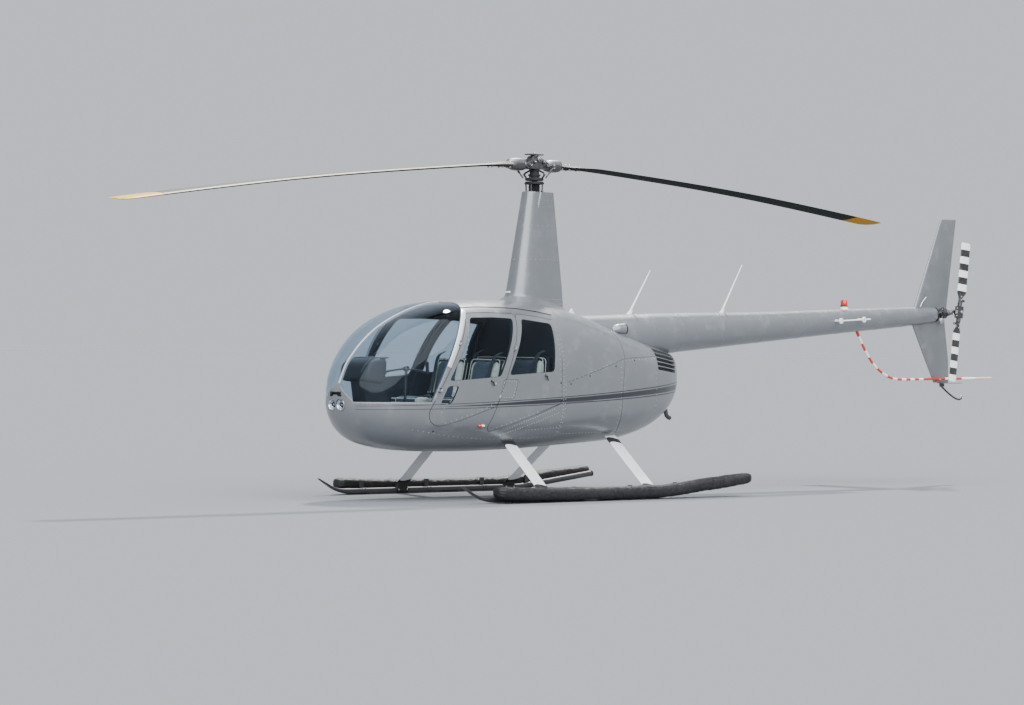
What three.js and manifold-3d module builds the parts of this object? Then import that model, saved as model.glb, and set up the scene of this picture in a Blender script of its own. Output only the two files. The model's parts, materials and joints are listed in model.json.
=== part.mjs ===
import * as THREE from 'three';
import { mergeVertices } from 'three/addons/utils/BufferGeometryUtils.js';
import Module from 'manifold-3d';

// Four-seat light helicopter with a two-bladed rotor and stowed skid floats.
// Millimetres, X aft, Y to starboard, Z up. Written about the mast axis,
// then moved by shiftX so that the bounding box stands over the origin.
const shiftX = -810;
const gap = 0.3;

// cabin wall, door and glass thicknesses, measured inward from the outer skin
const wallDepth = 26;
const skinDepth = 9;
const postDepth = [36, 62];
const glassDepth = [2, 8];
const doorGap = 5.5;
const panInset = 22;
const doorCorner = 24;

// hull stations: x, keel and roof height, half width, height of the widest point, squareness below and above
const hullStations = [
  { x: -2440, keel: 925, roof: 967, half: 8, widest: 950, lower: 2.2, upper: 2.6 },
  { x: -2425, keel: 848, roof: 1024, half: 97, widest: 943, lower: 2.2, upper: 2.6 },
  { x: -2390, keel: 748, roof: 1085, half: 182, widest: 935, lower: 2.25, upper: 2.7 },
  { x: -2320, keel: 658, roof: 1234, half: 278, widest: 935, lower: 2.3, upper: 2.85 },
  { x: -2230, keel: 580, roof: 1349, half: 357, widest: 942, lower: 2.4, upper: 3.0 },
  { x: -2100, keel: 520, roof: 1474, half: 437, widest: 955, lower: 2.5, upper: 3.2 },
  { x: -1950, keel: 485, roof: 1582, half: 500, widest: 970, lower: 2.6, upper: 3.4 },
  { x: -1780, keel: 460, roof: 1669, half: 552, widest: 990, lower: 2.75, upper: 3.6 },
  { x: -1580, keel: 446, roof: 1748, half: 598, widest: 1010, lower: 2.9, upper: 3.6 },
  { x: -1350, keel: 440, roof: 1808, half: 628, widest: 1030, lower: 3.0, upper: 3.3 },
  { x: -1100, keel: 438, roof: 1833, half: 642, widest: 1040, lower: 3.1, upper: 3.0 },
  { x: -800, keel: 443, roof: 1845, half: 645, widest: 1045, lower: 3.2, upper: 2.8 },
  { x: -450, keel: 452, roof: 1845, half: 640, widest: 1050, lower: 3.2, upper: 2.6 },
  { x: -150, keel: 465, roof: 1828, half: 630, widest: 1050, lower: 3.1, upper: 2.6 },
  { x: 150, keel: 480, roof: 1785, half: 612, widest: 1045, lower: 3.0, upper: 2.6 },
  { x: 450, keel: 495, roof: 1720, half: 585, widest: 1030, lower: 2.9, upper: 2.6 },
  { x: 750, keel: 512, roof: 1625, half: 545, widest: 1010, lower: 2.8, upper: 2.6 },
  { x: 1000, keel: 545, roof: 1548, half: 497, widest: 1000, lower: 2.7, upper: 2.6 },
  { x: 1250, keel: 602, roof: 1490, half: 430, widest: 1000, lower: 2.6, upper: 2.6 },
  { x: 1450, keel: 673, roof: 1440, half: 358, widest: 1010, lower: 2.5, upper: 2.6 },
  { x: 1620, keel: 762, roof: 1402, half: 275, widest: 1035, lower: 2.4, upper: 2.6 },
  { x: 1740, keel: 850, roof: 1374, half: 200, widest: 1070, lower: 2.3, upper: 2.6 },
  { x: 1820, keel: 938, roof: 1340, half: 132, widest: 1105, lower: 2.2, upper: 2.6 },
  { x: 1868, keel: 1035, roof: 1282, half: 72, widest: 1145, lower: 2.2, upper: 2.6 },
  { x: 1892, keel: 1120, roof: 1215, half: 20, widest: 1165, lower: 2.2, upper: 2.6 },
];
const hullPoints = 40;

// side-view outlines (x, z) shared by both sides
const frontDoor = [
  [-1300, 1720], [-1020, 1728], [-658, 1722], [-1000, 943], [-1037, 862],
  [-1232, 806], [-1415, 745], [-1618, 689], [-1688, 685], [-1757, 723], [-1792, 806],
];
const rearDoor = [
  [-664, 1722], [-400, 1700], [-167, 1662], [-205, 1250], [-212, 1000],
  [-205, 889], [-508, 790], [-888, 678], [-1080, 625], [-1125, 665], [-1006, 943],
];
// the rear doorway, with room for the low corner that swings down and aft
const rearDoorway = rearDoor.map(([x, z]) => (z < 700 ? [x - 3, z - 6] : [x, z]));
const frontWindow = [
  [-1262, 1673], [-975, 1682], [-735, 1671], [-728, 1655], [-985, 1165], [-1009, 1143],
  [-1050, 1131], [-1566, 1098], [-1579, 1108],
];
const rearWindow = [
  [-610, 1661], [-585, 1668], [-290, 1638], [-250, 1620], [-240, 1590], [-300, 1237],
  [-325, 1205], [-365, 1188], [-872, 1153], [-885, 1165],
];
const lowWindow = [[-1598, 1053], [-1485, 1053], [-1475, 1043], [-1560, 890], [-1680, 881]];
const windshield = [
  [-2600, 905], [-1763, 905], [-1608, 1240], [-1502, 1463], [-1425, 1600],
  [-1348, 1697], [-1285, 1754], [-1225, 1805], [-1200, 1950], [-2600, 1950],
];
const nosePeak = [[-200, 888], [0, 1078], [200, 888], [200, 700], [-200, 700]];
const seamAft = [[-228, 1076], [722, 1304], [1343, 1326], [2100, 1336]];

// hinge lines of the doors: a point at the waist and the slope in side view
const frontHinge = { x: -1683, y: 602, z: 1014, slope: 0.538, heights: [1014, 1440], onPost: false };
const rearHinge = { x: -1008, y: 644, z: 943, slope: 0.439, heights: [955, 1400], onPost: true };

// nose: two landing lamps under a vent slot
const lamp = { y: 58, z: 876, radius: 52, face: -2405, depth: 46 };
const noseVent = [[-55, 992], [55, 992], [83, 954], [-83, 954]];

// stern grille on both sides: corners of its field in side view, and its slots
const grille = {
  top: [1325, 1412], topAft: [1790, 1352], bottom: [1290, 1196], bottomAft: [1712, 1160],
  slots: 5, open: 0.64,
};

// scoop in the corner of tail cone and hull: the cone's height and radius there, and the angle above level
const scoop = { x0: 860, x1: 1035, coneZ: 1512, coneR: 205, turn: 0.37, high: 42, wide: 106 };
const finAntenna = { x: 434, chord: 132, z: 1690, top: 1780, sweep: 62, tip: 20 };

// rotor
const hubHeight = 3130;
const rotorAzimuth = 2.65;
const rotorTeeter = 0.0079;
// sections of the aft blade; lead is the leading edge, to starboard of the blade's axis
const bladeLine = [
  { r: 282.3, z: 3130, chord: 84, thick: 62, lead: 42 },
  { r: 420, z: 3127, chord: 96, thick: 56, lead: 48 },
  { r: 560, z: 3120, chord: 180, thick: 40, lead: 60 },
  { r: 700, z: 3112, chord: 254, thick: 32, lead: 64 },
  { r: 1300, z: 3068, chord: 254, thick: 30, lead: 64 },
  { r: 2200, z: 2995, chord: 254, thick: 30, lead: 64 },
  { r: 3100, z: 2909, chord: 254, thick: 30, lead: 64 },
  { r: 4000, z: 2807, chord: 254, thick: 30, lead: 64 },
  { r: 4700, z: 2721, chord: 254, thick: 28, lead: 64 },
  { r: 4900, z: 2695, chord: 250, thick: 24, lead: 60 },
  { r: 4990, z: 2683, chord: 214, thick: 18, lead: 28 },
  { r: 5028, z: 2678, chord: 140, thick: 10, lead: -36 },
];

// tail
const tailAxis = { x: 5890, y: -287, z: 1810 };
const tailRadius = 736.6;
const tailLean = 0.12;
const coneStations = [
  { x: 400, z: 1498, r: 212 },
  { x: 900, z: 1512, r: 213 },
  { x: 1430, z: 1536, r: 208 },
  { x: 2000, z: 1566, r: 192 },
  { x: 3140, z: 1626, r: 153.5 },
  { x: 4300, z: 1695, r: 125 },
  { x: 5280, z: 1750, r: 102.5 },
  { x: 5790, z: 1781, r: 86 },
];
const coneWall = 5;

// landing gear
const skidY = 1000;
const skidR = 28.5;
const skidFloor = 33;
const skidPath = [
  [-1790, 160], [-1755, 141], [-1700, 112], [-1620, 72], [-1535, 47], [-1430, 36], [-1320, skidFloor],
  [700, skidFloor], [790, 36], [900, 47], [1330, 96], [1760, 146],
];
const bagY = 1117;
const bagPlates = [[-1240, 33], [-420, 33], [300, 33], [900, 47]];
const bagPath = [
  { x: -1482, z: 107, w: 26, h: 20 },
  { x: -1468, z: 104, w: 58, h: 44 },
  { x: -1410, z: 99, w: 80, h: 61 },
  { x: -1250, z: 90, w: 85, h: 64 },
  { x: -840, z: 78, w: 85, h: 63 },
  { x: -380, z: 72, w: 85, h: 62 },
  { x: 100, z: 70, w: 85, h: 62 },
  { x: 560, z: 72, w: 85, h: 62 },
  { x: 790, z: 82, w: 85, h: 63 },
  { x: 1060, z: 110, w: 84, h: 63 },
  { x: 1330, z: 133, w: 82, h: 62 },
  { x: 1600, z: 156, w: 80, h: 60 },
  { x: 1750, z: 170, w: 76, h: 55 },
  { x: 1798, z: 175, w: 52, h: 38 },
  { x: 1812, z: 177, w: 24, h: 18 },
];
const legs = [
  { name: 'front', top: [-766, 452, 568], foot: [-768, 988, 96], chord: 145, thick: 48 },
  { name: 'rear', top: [666, 366, 576], foot: [626, 988, 74], chord: 145, thick: 48 },
];

// colours, roughness and metalness of the materials
const looks = {
  painted_metal_silver: [0xaab4bf, 0.35, 0.6],
  painted_metal_white: [0xe6e8e6, 0.4, 0.1],
  painted_metal_black: [0x222426, 0.5, 0.1],
  painted_metal_yellow: [0xd9a520, 0.4, 0.1],
  painted_metal_red: [0xb01c1c, 0.4, 0.1],
  painted_metal_grey: [0x6b7076, 0.4, 0.3],
  aluminium: [0xc4c8cc, 0.35, 0.9],
  brushed_steel: [0x8d9196, 0.35, 0.9],
  glass: [0x9fb6c4, 0.05, 0.0],
  rubber_black: [0x1c1c1d, 0.8, 0.0],
  matte_plastic_dark: [0x2a2c2f, 0.7, 0.0],
  leather_cream: [0xd8d0bd, 0.6, 0.0],
  fabric_dark: [0x34373a, 0.9, 0.0],
  red_plastic: [0xc02018, 0.3, 0.0],
};
const materials = {};
for (const [name, [color, roughness, metalness]] of Object.entries(looks)) {
  const m = new THREE.MeshStandardMaterial({ color, roughness, metalness });
  m.name = name;
  materials[name] = m;
}
materials.glass.transparent = true;
materials.glass.opacity = 0.35;

const wasm = await Module();
wasm.setup();
const { Manifold } = wasm;

// a closed mesh of points and an index as a solid body
function solidMesh(vertProperties, triVerts) {
  return new Manifold(new wasm.Mesh({ numProp: 3, vertProperties, triVerts }));
}

// a closed three.js geometry as a solid body, its equal corners joined
function solidOf(geometry) {
  geometry.deleteAttribute('normal');
  geometry.deleteAttribute('uv');
  const merged = mergeVertices(geometry, 1e-3);
  return solidMesh(merged.attributes.position.array, new Uint32Array(merged.index.array));
}

// a triangle list as a solid body, turned the right way out
function solidFrom(points, faces) {
  const geometry = new THREE.BufferGeometry();
  geometry.setAttribute('position', new THREE.Float32BufferAttribute(points.flat(), 3));
  geometry.setIndex(faces.flat());
  const merged = mergeVertices(geometry, 1e-3);
  const index = merged.index.array;
  const kept = [];
  for (let i = 0; i < index.length; i += 3) {
    const [a, b, c] = index.slice(i, i + 3);
    if (a !== b && b !== c && c !== a) kept.push(a, b, c);
  }
  const body = solidMesh(merged.attributes.position.array, new Uint32Array(kept));
  return body.volume() < 0 ? solidFrom(points, faces.map(([a, b, c]) => [a, c, b])) : body;
}

// rings of equal point counts joined to a closed body with flat fan ends
function loft(rings) {
  const count = rings[0].length;
  const points = rings.flat();
  const faces = [];
  for (let i = 0; i + 1 < rings.length; i += 1) {
    for (let j = 0; j < count; j += 1) {
      const k = (j + 1) % count;
      const a = i * count + j;
      const b = i * count + k;
      faces.push([a, b, b + count], [a, b + count, a + count]);
    }
  }
  for (const [row, turn] of [[0, true], [rings.length - 1, false]]) {
    const ring = rings[row];
    const mid = [0, 1, 2].map((n) => ring.reduce((s, p) => s + p[n], 0) / count);
    const at = points.push(mid) - 1;
    for (let j = 0; j < count; j += 1) {
      const a = row * count + j;
      const b = row * count + ((j + 1) % count);
      faces.push(turn ? [at, b, a] : [at, a, b]);
    }
  }
  return solidFrom(points, faces);
}

function box(x0, x1, y0, y1, z0, z1) {
  const shape = new THREE.BoxGeometry(x1 - x0, y1 - y0, z1 - z0);
  return solidOf(shape.translate((x0 + x1) / 2, (y0 + y1) / 2, (z0 + z1) / 2));
}

// an upright round body from height 0, or about height 0 when centred
function drum(height, low, high, sides, centred = false) {
  const shape = new THREE.CylinderGeometry(high, low, height, sides).rotateX(Math.PI / 2);
  return solidOf(shape.translate(0, 0, centred ? 0 : height / 2));
}

// an outline drawn in two axes, carried along the third
function prism(outline, from, to, axis = 'y') {
  const shape = new THREE.Shape(outline.map(([a, b]) => new THREE.Vector2(a, b)));
  const body = new THREE.ExtrudeGeometry(shape, { depth: to - from, bevelEnabled: false });
  if (axis === 'y') return solidOf(body.rotateX(Math.PI / 2).translate(0, to, 0));
  if (axis === 'x') return solidOf(body.rotateX(Math.PI / 2).rotateZ(Math.PI / 2).translate(from, 0, 0));
  return solidOf(body.translate(0, 0, from));
}

// the outline itself or its reverse, so that its inside lies to the left
function counterClockwise(outline) {
  const points = outline.map(([a, b]) => new THREE.Vector2(a, b));
  return THREE.ShapeUtils.area(points) > 0 ? outline : [...outline].reverse();
}

// an outline with every side moved inwards
function insetOutline(outline, distance) {
  const path = counterClockwise(outline);
  const left = path.map(([x, y], i) => {
    const [u, v] = path[(i + 1) % path.length];
    const length = Math.hypot(u - x, v - y);
    return [(y - v) / length, (u - x) / length];
  });
  return path.map(([x, y], i) => {
    const [a, b] = left[(i + path.length - 1) % path.length];
    const [c, d] = left[i];
    const reach = distance / (1 + a * c + b * d);
    return [x + (a + c) * reach, y + (b + d) * reach];
  });
}

// an outline whose corners are short curves that begin and end radius away
function softened(outline, radius) {
  const path = counterClockwise(outline).map(([x, y]) => new THREE.Vector2(x, y));
  return path.flatMap((corner, i) => {
    const before = path[(i + path.length - 1) % path.length].clone().sub(corner);
    const after = path[(i + 1) % path.length].clone().sub(corner);
    const bend = Math.PI - Math.acos(before.dot(after) / before.length() / after.length());
    const reach = Math.min(radius * Math.tan(bend / 2), 0.45 * before.length(), 0.45 * after.length());
    if (bend < 0.06) return [[corner.x, corner.y]];
    const curve = new THREE.QuadraticBezierCurve(before.setLength(reach).add(corner), corner,
      after.setLength(reach).add(corner));
    return curve.getPoints(Math.ceil(bend / 0.4)).map((p) => [p.x, p.y]);
  });
}

// a door outline moved inwards, with corners that keep their centres
function doorLine(outline, inset) {
  return softened(insetOutline(outline, inset), Math.max(doorCorner - inset, 4));
}

// a round bar through a list of points
function bar(points, radius, sides = 12) {
  const rings = [];
  const at = points.map((p) => new THREE.Vector3(...p));
  let side = null;
  at.forEach((p, i) => {
    const before = at[Math.max(i - 1, 0)];
    const after = at[Math.min(i + 1, at.length - 1)];
    const along = after.clone().sub(before).normalize();
    if (!side) {
      side = new THREE.Vector3(0, 1, 0);
      if (Math.abs(along.y) > 0.9) side = new THREE.Vector3(1, 0, 0);
    }
    side = side.clone().sub(along.clone().multiplyScalar(side.dot(along))).normalize();
    const up = along.clone().cross(side);
    const r = Array.isArray(radius) ? radius[i] : radius;
    rings.push(ringOf(p, side, up, r, r, sides));
  });
  return loft(rings);
}

function ringOf(centre, side, up, a, b, sides) {
  return Array.from({ length: sides }, (_, j) => {
    const t = (2 * Math.PI * j) / sides;
    return [
      centre.x + side.x * a * Math.cos(t) + up.x * b * Math.sin(t),
      centre.y + side.y * a * Math.cos(t) + up.y * b * Math.sin(t),
      centre.z + side.z * a * Math.cos(t) + up.z * b * Math.sin(t),
    ];
  });
}

function mirrored(body) {
  return body.mirror([0, 1, 0]);
}

// a body with a margin of one gap along each axis
function grown(body) {
  const moves = [[0, 0, 0]];
  for (const k of [0, 1, 2]) {
    moves.push([0, 1, 2].map((n) => (n === k ? gap : 0)));
    moves.push([0, 1, 2].map((n) => (n === k ? -gap : 0)));
  }
  return Manifold.union(moves.map((m) => body.translate(m)));
}

// one section of the hull, moved inward by depth
function hullRing(station, depth) {
  const half = Math.max(station.half - depth, 2);
  const roof = Math.max(station.roof - depth - station.widest, 2);
  const keel = Math.max(station.widest - station.keel - depth, 2);
  return Array.from({ length: hullPoints }, (_, j) => {
    const t = (2 * Math.PI * (j + 0.5)) / hullPoints;
    const power = Math.sin(t) > 0 ? station.upper : station.lower;
    const y = half * Math.sign(Math.cos(t)) * Math.abs(Math.cos(t)) ** (2 / power);
    const rise = Math.abs(Math.sin(t)) ** (2 / power);
    return [station.x, y, station.widest + (Math.sin(t) > 0 ? roof : -keel) * rise];
  });
}

function stationAt(x) {
  const last = hullStations.length - 2;
  let i = 0;
  while (i < last && hullStations[i + 1].x < x) i += 1;
  const a = hullStations[i];
  const b = hullStations[i + 1];
  const f = (x - a.x) / (b.x - a.x);
  const out = {};
  for (const key of Object.keys(a)) out[key] = a[key] + (b[key] - a[key]) * f;
  return out;
}

function hullBody(depth) {
  const nose = hullStations[0].x + depth;
  const stern = hullStations[hullStations.length - 1].x - depth;
  const inside = hullStations.filter((s) => s.x > nose + 12 && s.x < stern - 12);
  const rows = [stationAt(nose), ...inside, stationAt(stern)];
  return loft(rows.map((s) => hullRing(s, depth)));
}

const hullOuter = hullBody(0);
const hullGrown = hullBody(-gap);
const hullInner = hullBody(wallDepth);
const wall = hullOuter.subtract(hullInner);
const skin = hullOuter.subtract(hullBody(skinDepth));
const pan = hullBody(skinDepth - 1).subtract(hullInner);
const pane = hullBody(glassDepth[0]).subtract(hullBody(glassDepth[1]));
const postShell = hullBody(postDepth[0]).subtract(hullBody(postDepth[1]));
const inboard = hullBody(wallDepth + gap);

const port = (outline) => prism(outline, -900, -150);
const across = (outline) => prism(outline, -900, 900);

// region of the windshield, without the peak of the nose panel
function windshieldRegion(inset) {
  const side = across(insetOutline(windshield, inset));
  const peak = insetOutline(nosePeak, -inset);
  return side.subtract(prism(peak, -2600, -2150, 'x'));
}

function doorBody(outline, windows, hingeSet, neighbours) {
  const face = skin.intersect(port(doorLine(outline, doorGap)));
  const inner = pan.intersect(port(doorLine(outline, doorGap + panInset)));
  let door = face.add(inner);
  for (const w of windows) door = door.subtract(port(w));
  for (const h of hingeSet) door = door.subtract(h.room).add(h.knuckle);
  for (const h of neighbours) door = door.subtract(h.room);
  return door;
}

function paneBody(outline) {
  return pane.intersect(port(insetOutline(outline, gap + 0.2)));
}

function halfWidthAt(x, z) {
  const s = stationAt(x);
  const power = z > s.widest ? s.upper : s.lower;
  const reach = z > s.widest ? s.roof - s.widest : s.widest - s.keel;
  return s.half * (1 - Math.min(Math.abs(z - s.widest) / reach, 1) ** power) ** (1 / power);
}

// knuckle on the door, ears with a pin on the frame, and the room that the ears need in the door's edge,
// at one height of a hinge line; drawn with the line along z, the door towards x and outboard towards y
function hingeParts(hinge, z) {
  const x = hinge.x + (z - hinge.z) * hinge.slope;
  const off = hinge.y - halfWidthAt(x, z);
  const knuckle = drum(27, 9.5, 9.5, 12, true)
    .add(box(-7, 10, Math.min(-off + 7, -4), 0, -13.5, 13.5))
    .add(box(9, 40, -off - 6, -off + 9, -13.5, 13.5))
    .subtract(drum(60, 5, 5, 12, true));
  const [back, root] = hinge.onPost ? [-8, 42] : [-20, 14];
  const ear = box(back, 4, -off - root, 8, 14.2, 25);
  const pin = drum(50, 4.6, 4.6, 12, true);
  const ears = ear.add(ear.translate([0, 0, -39.2])).add(pin);
  const room = box(back - 6.5, 10.5, -off - root - 2, 10, -31.5, 31.5);
  const n = Math.hypot(hinge.slope, 1);
  const [c, s] = [1 / n, hinge.slope / n];
  const place = [c, 0, -s, 0, 0, -1, 0, 0, -s, 0, -c, 0, x, -hinge.y, z, 1];
  return { knuckle: knuckle.transform(place), ears: ears.transform(place), room: room.transform(place) };
}

const hinges = {
  front: frontHinge.heights.map((z) => hingeParts(frontHinge, z)),
  rear: rearHinge.heights.map((z) => hingeParts(rearHinge, z)),
};

const belowSeam = [
  [seamAft[0][0] + 5, 300], [seamAft[0][0] + 5, seamAft[0][1]], ...seamAft.slice(1), [2100, 300],
];

function cabinBodies() {
  const doorway = (o) => port(o).add(mirrored(port(o)));
  let shell = wall;
  for (const o of [frontDoor, rearDoorway]) shell = shell.subtract(doorway(doorLine(o, 0)));
  const seamGap = doorway([[-700, 1700], [-620, 1700], [-960, 930], [-1030, 930]]);
  shell = shell.subtract(seamGap);
  const bow = wall.intersect(windshieldRegion(0)).intersect(box(-2600, -1000, -11, 11, 700, 2000));
  shell = shell.subtract(windshieldRegion(0)).subtract(prism(noseVent, -2600, -2300, 'x'));
  for (const y of [-lamp.y, lamp.y]) shell = shell.subtract(noseDrum(y, lamp.radius + gap, -2600, -2300));
  for (const slot of grilleSlots()) shell = shell.subtract(doorway(slot));
  const peak = box(-2600, -2160, -205, 205, 300, 1080);
  const low = box(-2600, -200 - gap, -900, 900, 300, 905).add(peak);
  const lowerHull = shell.intersect(low);
  const upper = box(-2600, -200 - gap, -900, 900, 905 + gap, 2000);
  const strip = [[-665, 1790], [-600, 1790], [-1119, 612.6], [-1184, 612.6]];
  const inPost = postShell.intersect(doorway(strip));
  const tie = hullInner.add(wall).subtract(hullBody(postDepth[1]));
  const head = tie.intersect(doorway(strip)).intersect(box(-1000, -500, -900, 900, 1742, 1900));
  let frame = shell.intersect(upper).subtract(peak).add(inPost).add(head);
  for (const h of [...hinges.front, ...hinges.rear]) frame = frame.add(h.ears).add(mirrored(h.ears));
  const aft = box(-200, 2100, -900, 900, 300, 2000);
  const underSeam = prism(belowSeam, -900, 900);
  const lowerAft = shell.intersect(aft).intersect(underSeam);
  const above = shell.intersect(aft).subtract(prism(belowSeam.map(([x, z]) => [x - gap, z + gap]),
    -900, 900));
  const upperCowl = above.intersect(box(-200, 700, -900, 900, 300, 2000));
  const rearCowl = above.intersect(box(700 + gap, 2100, -900, 900, 300, 2000));
  return { lowerHull, frame, bow, lowerAft, upperCowl, rearCowl };
}

// a round bar fore and aft at the height of the lamps
function noseDrum(y, radius, from, to) {
  return solidOf(new THREE.CylinderGeometry(radius, radius, to - from, 20).rotateZ(Math.PI / 2)
    .translate((from + to) / 2, y, lamp.z));
}

// two lamps behind the holes of the nose, joined by their bracket
function lampBody() {
  const aft = lamp.face + lamp.depth;
  const bracket = box(aft - 12, aft, -lamp.y, lamp.y, lamp.z - 20, lamp.z + 20);
  return noseDrum(-lamp.y, lamp.radius, lamp.face, aft).add(noseDrum(lamp.y, lamp.radius, lamp.face, aft))
    .add(bracket).intersect(hullOuter);
}

// side views of the stern grille's slots, evenly down its field
function grilleSlots() {
  const between = (a, b, f) => [a[0] + (b[0] - a[0]) * f, a[1] + (b[1] - a[1]) * f];
  return Array.from({ length: grille.slots }, (_, i) => {
    const [from, to] = [i / grille.slots, (i + grille.open) / grille.slots];
    return [between(grille.top, grille.bottom, from), between(grille.topAft, grille.bottomAft, from),
      between(grille.topAft, grille.bottomAft, to), between(grille.top, grille.bottom, to)];
  });
}

// wing-like section: chord along x from 0 to chord, thickness along y
function foil(chord, thick, count = 16) {
  return Array.from({ length: count }, (_, j) => {
    const t = (2 * Math.PI * j) / count;
    const f = 0.5 * (1 - Math.cos(t));
    const shape = 3.95 * (Math.sqrt(Math.max(f, 0)) - f) + 0.04;
    return [f * chord, Math.sign(Math.sin(t) || 1) * thick * 0.5 * Math.min(shape, 1)];
  });
}

function fairingBody() {
  const rows = [
    { z: 1760, x0: -345, x1: 392, t: 270 },
    { z: 1960, x0: -300, x1: 372, t: 250 },
    { z: 2880, x0: -127, x1: 248, t: 150 },
  ];
  const ring = (r, d) => foil(r.x1 - r.x0 - 2 * d, r.t - 2 * d, 18)
    .map(([x, y]) => [r.x0 + d + x, y, r.z]);
  const outer = loft(rows.map((r) => ring(r, 0)));
  const hollow = rows.map((r, i) => ({ ...r, z: [1700, 1960, 2866][i] }));
  const inner = loft(hollow.map((r) => ring(r, 6)));
  const hole = drum(200, 52, 52, 24).translate([0, 0, 2780]);
  return outer.subtract(inner).subtract(hole).subtract(hullGrown);
}

function mastBody() {
  const shaft = drum(1230, 34, 34, 20).translate([0, 0, 1870]);
  const plate = drum(26, 88, 88, 24).translate([0, 0, 2985]);
  return shaft.add(plate);
}

function swashBody() {
  const ring = drum(24, 88, 88, 24).translate([0, 0, 2954]);
  const foot = drum(76, 64, 64, 24).translate([0, 0, 2880.3]);
  const bore = drum(200, 34.8, 34.8, 20).translate([0, 0, 2860]);
  return ring.add(foot).subtract(bore);
}

function hubBody() {
  const core = box(-95, 95, -62, 62, hubHeight - 26, hubHeight + 92);
  const plates = box(-150, 150, 44, 58, hubHeight - 34, hubHeight + 60);
  const grip = bar([[-282, 0, hubHeight], [282, 0, hubHeight]], 46, 16);
  const cap = drum(48, 40, 30, 20).translate([0, 0, hubHeight + 92]);
  const bolt = bar([[0, -92, hubHeight + 58], [0, 92, hubHeight + 58]], 24, 12);
  return core.add(plates).add(mirrored(plates)).add(grip).add(cap).add(bolt);
}

// the aft blade, teetered up or down by lean
function bladeBody(lean) {
  const rings = bladeLine.map((b) => foil(b.chord, b.thick, 14)
    .map(([x, y]) => [b.r, b.lead - x, b.z - y + lean * (b.r - 282)]));
  return loft(rings);
}

function coneBody() {
  const rings = (d) => coneStations.map((s, i) => {
    const x = s.x + (i === coneStations.length - 1 ? -d : 0) - (i === 0 ? d : 0);
    return ringOf(new THREE.Vector3(x, 0, s.z), new THREE.Vector3(0, 1, 0),
      new THREE.Vector3(0, 0, 1), s.r - d, s.r - d, 24);
  });
  const outer = loft(rings(0));
  return outer.subtract(loft(rings(coneWall))).subtract(hullGrown);
}

function coneSolid(grow) {
  return loft(coneStations.map((s) => ringOf(new THREE.Vector3(s.x, 0, s.z),
    new THREE.Vector3(0, 1, 0), new THREE.Vector3(0, 0, 1), s.r + grow, s.r + grow, 24)));
}

// upright fin between two heights
function finBody(rows) {
  const rings = rows.map((r) => foil(r.x1 - r.x0, r.t, 14).map(([x, y]) => [r.x0 + x, y, r.z]));
  return loft(rings).subtract(coneSolid(gap));
}

function stabilizerBody() {
  const rows = [{ y: 70, x0: 5130, x1: 5510, t: 34 }, { y: 1110, x0: 5190, x1: 5500, t: 26 }];
  const rings = rows.map((r) => foil(r.x1 - r.x0, r.t, 14).map(([x, z]) => [r.x0 + x, r.y, 1752 + z]));
  return loft(rings).subtract(coneSolid(gap));
}

function gearboxBody() {
  const barrel = drum(170, 80, 66, 24).rotate([0, 90, 0]).translate([5791, 0, 1784]);
  const arm = bar([[tailAxis.x, 40, tailAxis.z - 20], [tailAxis.x, -150, tailAxis.z - 2]], 62, 20);
  const neck = bar([[tailAxis.x, -140, tailAxis.z], [tailAxis.x, -216.5, tailAxis.z]], 30, 16);
  return barrel.add(arm).add(neck);
}

const gearboxRoom = grown(gearboxBody());
const upperFin = finBody([
  { x0: 5490, x1: 6018, t: 44, z: 1835 }, { x0: 5912, x1: 6162, t: 24, z: 2795 },
]).subtract(gearboxRoom);
const lowerFin = finBody([
  { x0: 5824, x1: 6066, t: 22, z: 1063.3 }, { x0: 5682, x1: 6060, t: 34, z: 1304 },
  { x0: 5455, x1: 5994, t: 44, z: 1700 },
]).subtract(gearboxRoom);

function tailHubBody() {
  const shaft = bar([[0, 70, 0], [0, -34, 0]], 20, 16);
  const core = box(-34, 34, -30, 30, -62, 62);
  const grips = bar([[0, 0, -108], [0, 0, 108]], 24, 14);
  const body = shaft.add(core).add(grips);
  return placeTail(body);
}

function tailBladeBody() {
  const rows = [
    { r: 108.3, chord: 46, t: 30 },
    { r: 150, chord: 50, t: 28 },
    { r: 205, chord: 130, t: 16 },
    { r: tailRadius - 18, chord: 130, t: 13 },
    { r: tailRadius, chord: 104, t: 8 },
  ];
  const rings = rows.map((b) => foil(b.chord, b.t, 14)
    .map(([x, y]) => [x - b.chord * 0.4, y, b.r]));
  return loft(rings);
}

function placeTail(body) {
  const lean = (tailLean * 180) / Math.PI;
  return body.rotate([0, lean, 0]).translate([tailAxis.x, tailAxis.y, tailAxis.z]);
}

function guardBody() {
  const line = [
    [4588, 0, 1618], [4605, 0, 1590], [4682, -10, 1456], [4760, -18, 1342], [4863, -25, 1238],
    [4982, -32, 1161], [5060, -35, 1128], [5134, -38, 1108], [5220, -41, 1100], [5318, -43, 1098],
    [5717, -45, 1103], [6191, -60, 1108], [6668, -100, 1113],
  ];
  const clamp = bar([[5854, -66, 1101], [5854, -5, 1101]], 25, 16);
  return bar(line, 13, 10).add(clamp).subtract(coneSolid(gap)).subtract(grown(lowerFin));
}

function tailSkidBody() {
  const line = [
    [5945, 0, 1030], [6000, 0, 995], [6095, 0, 938], [6190, 0, 895], [6245, 0, 884], [6300, 0, 910],
  ];
  return bar(line, 11, 10).add(box(5934, 5990, -13, 13, 1022, 1054.7));
}

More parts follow.
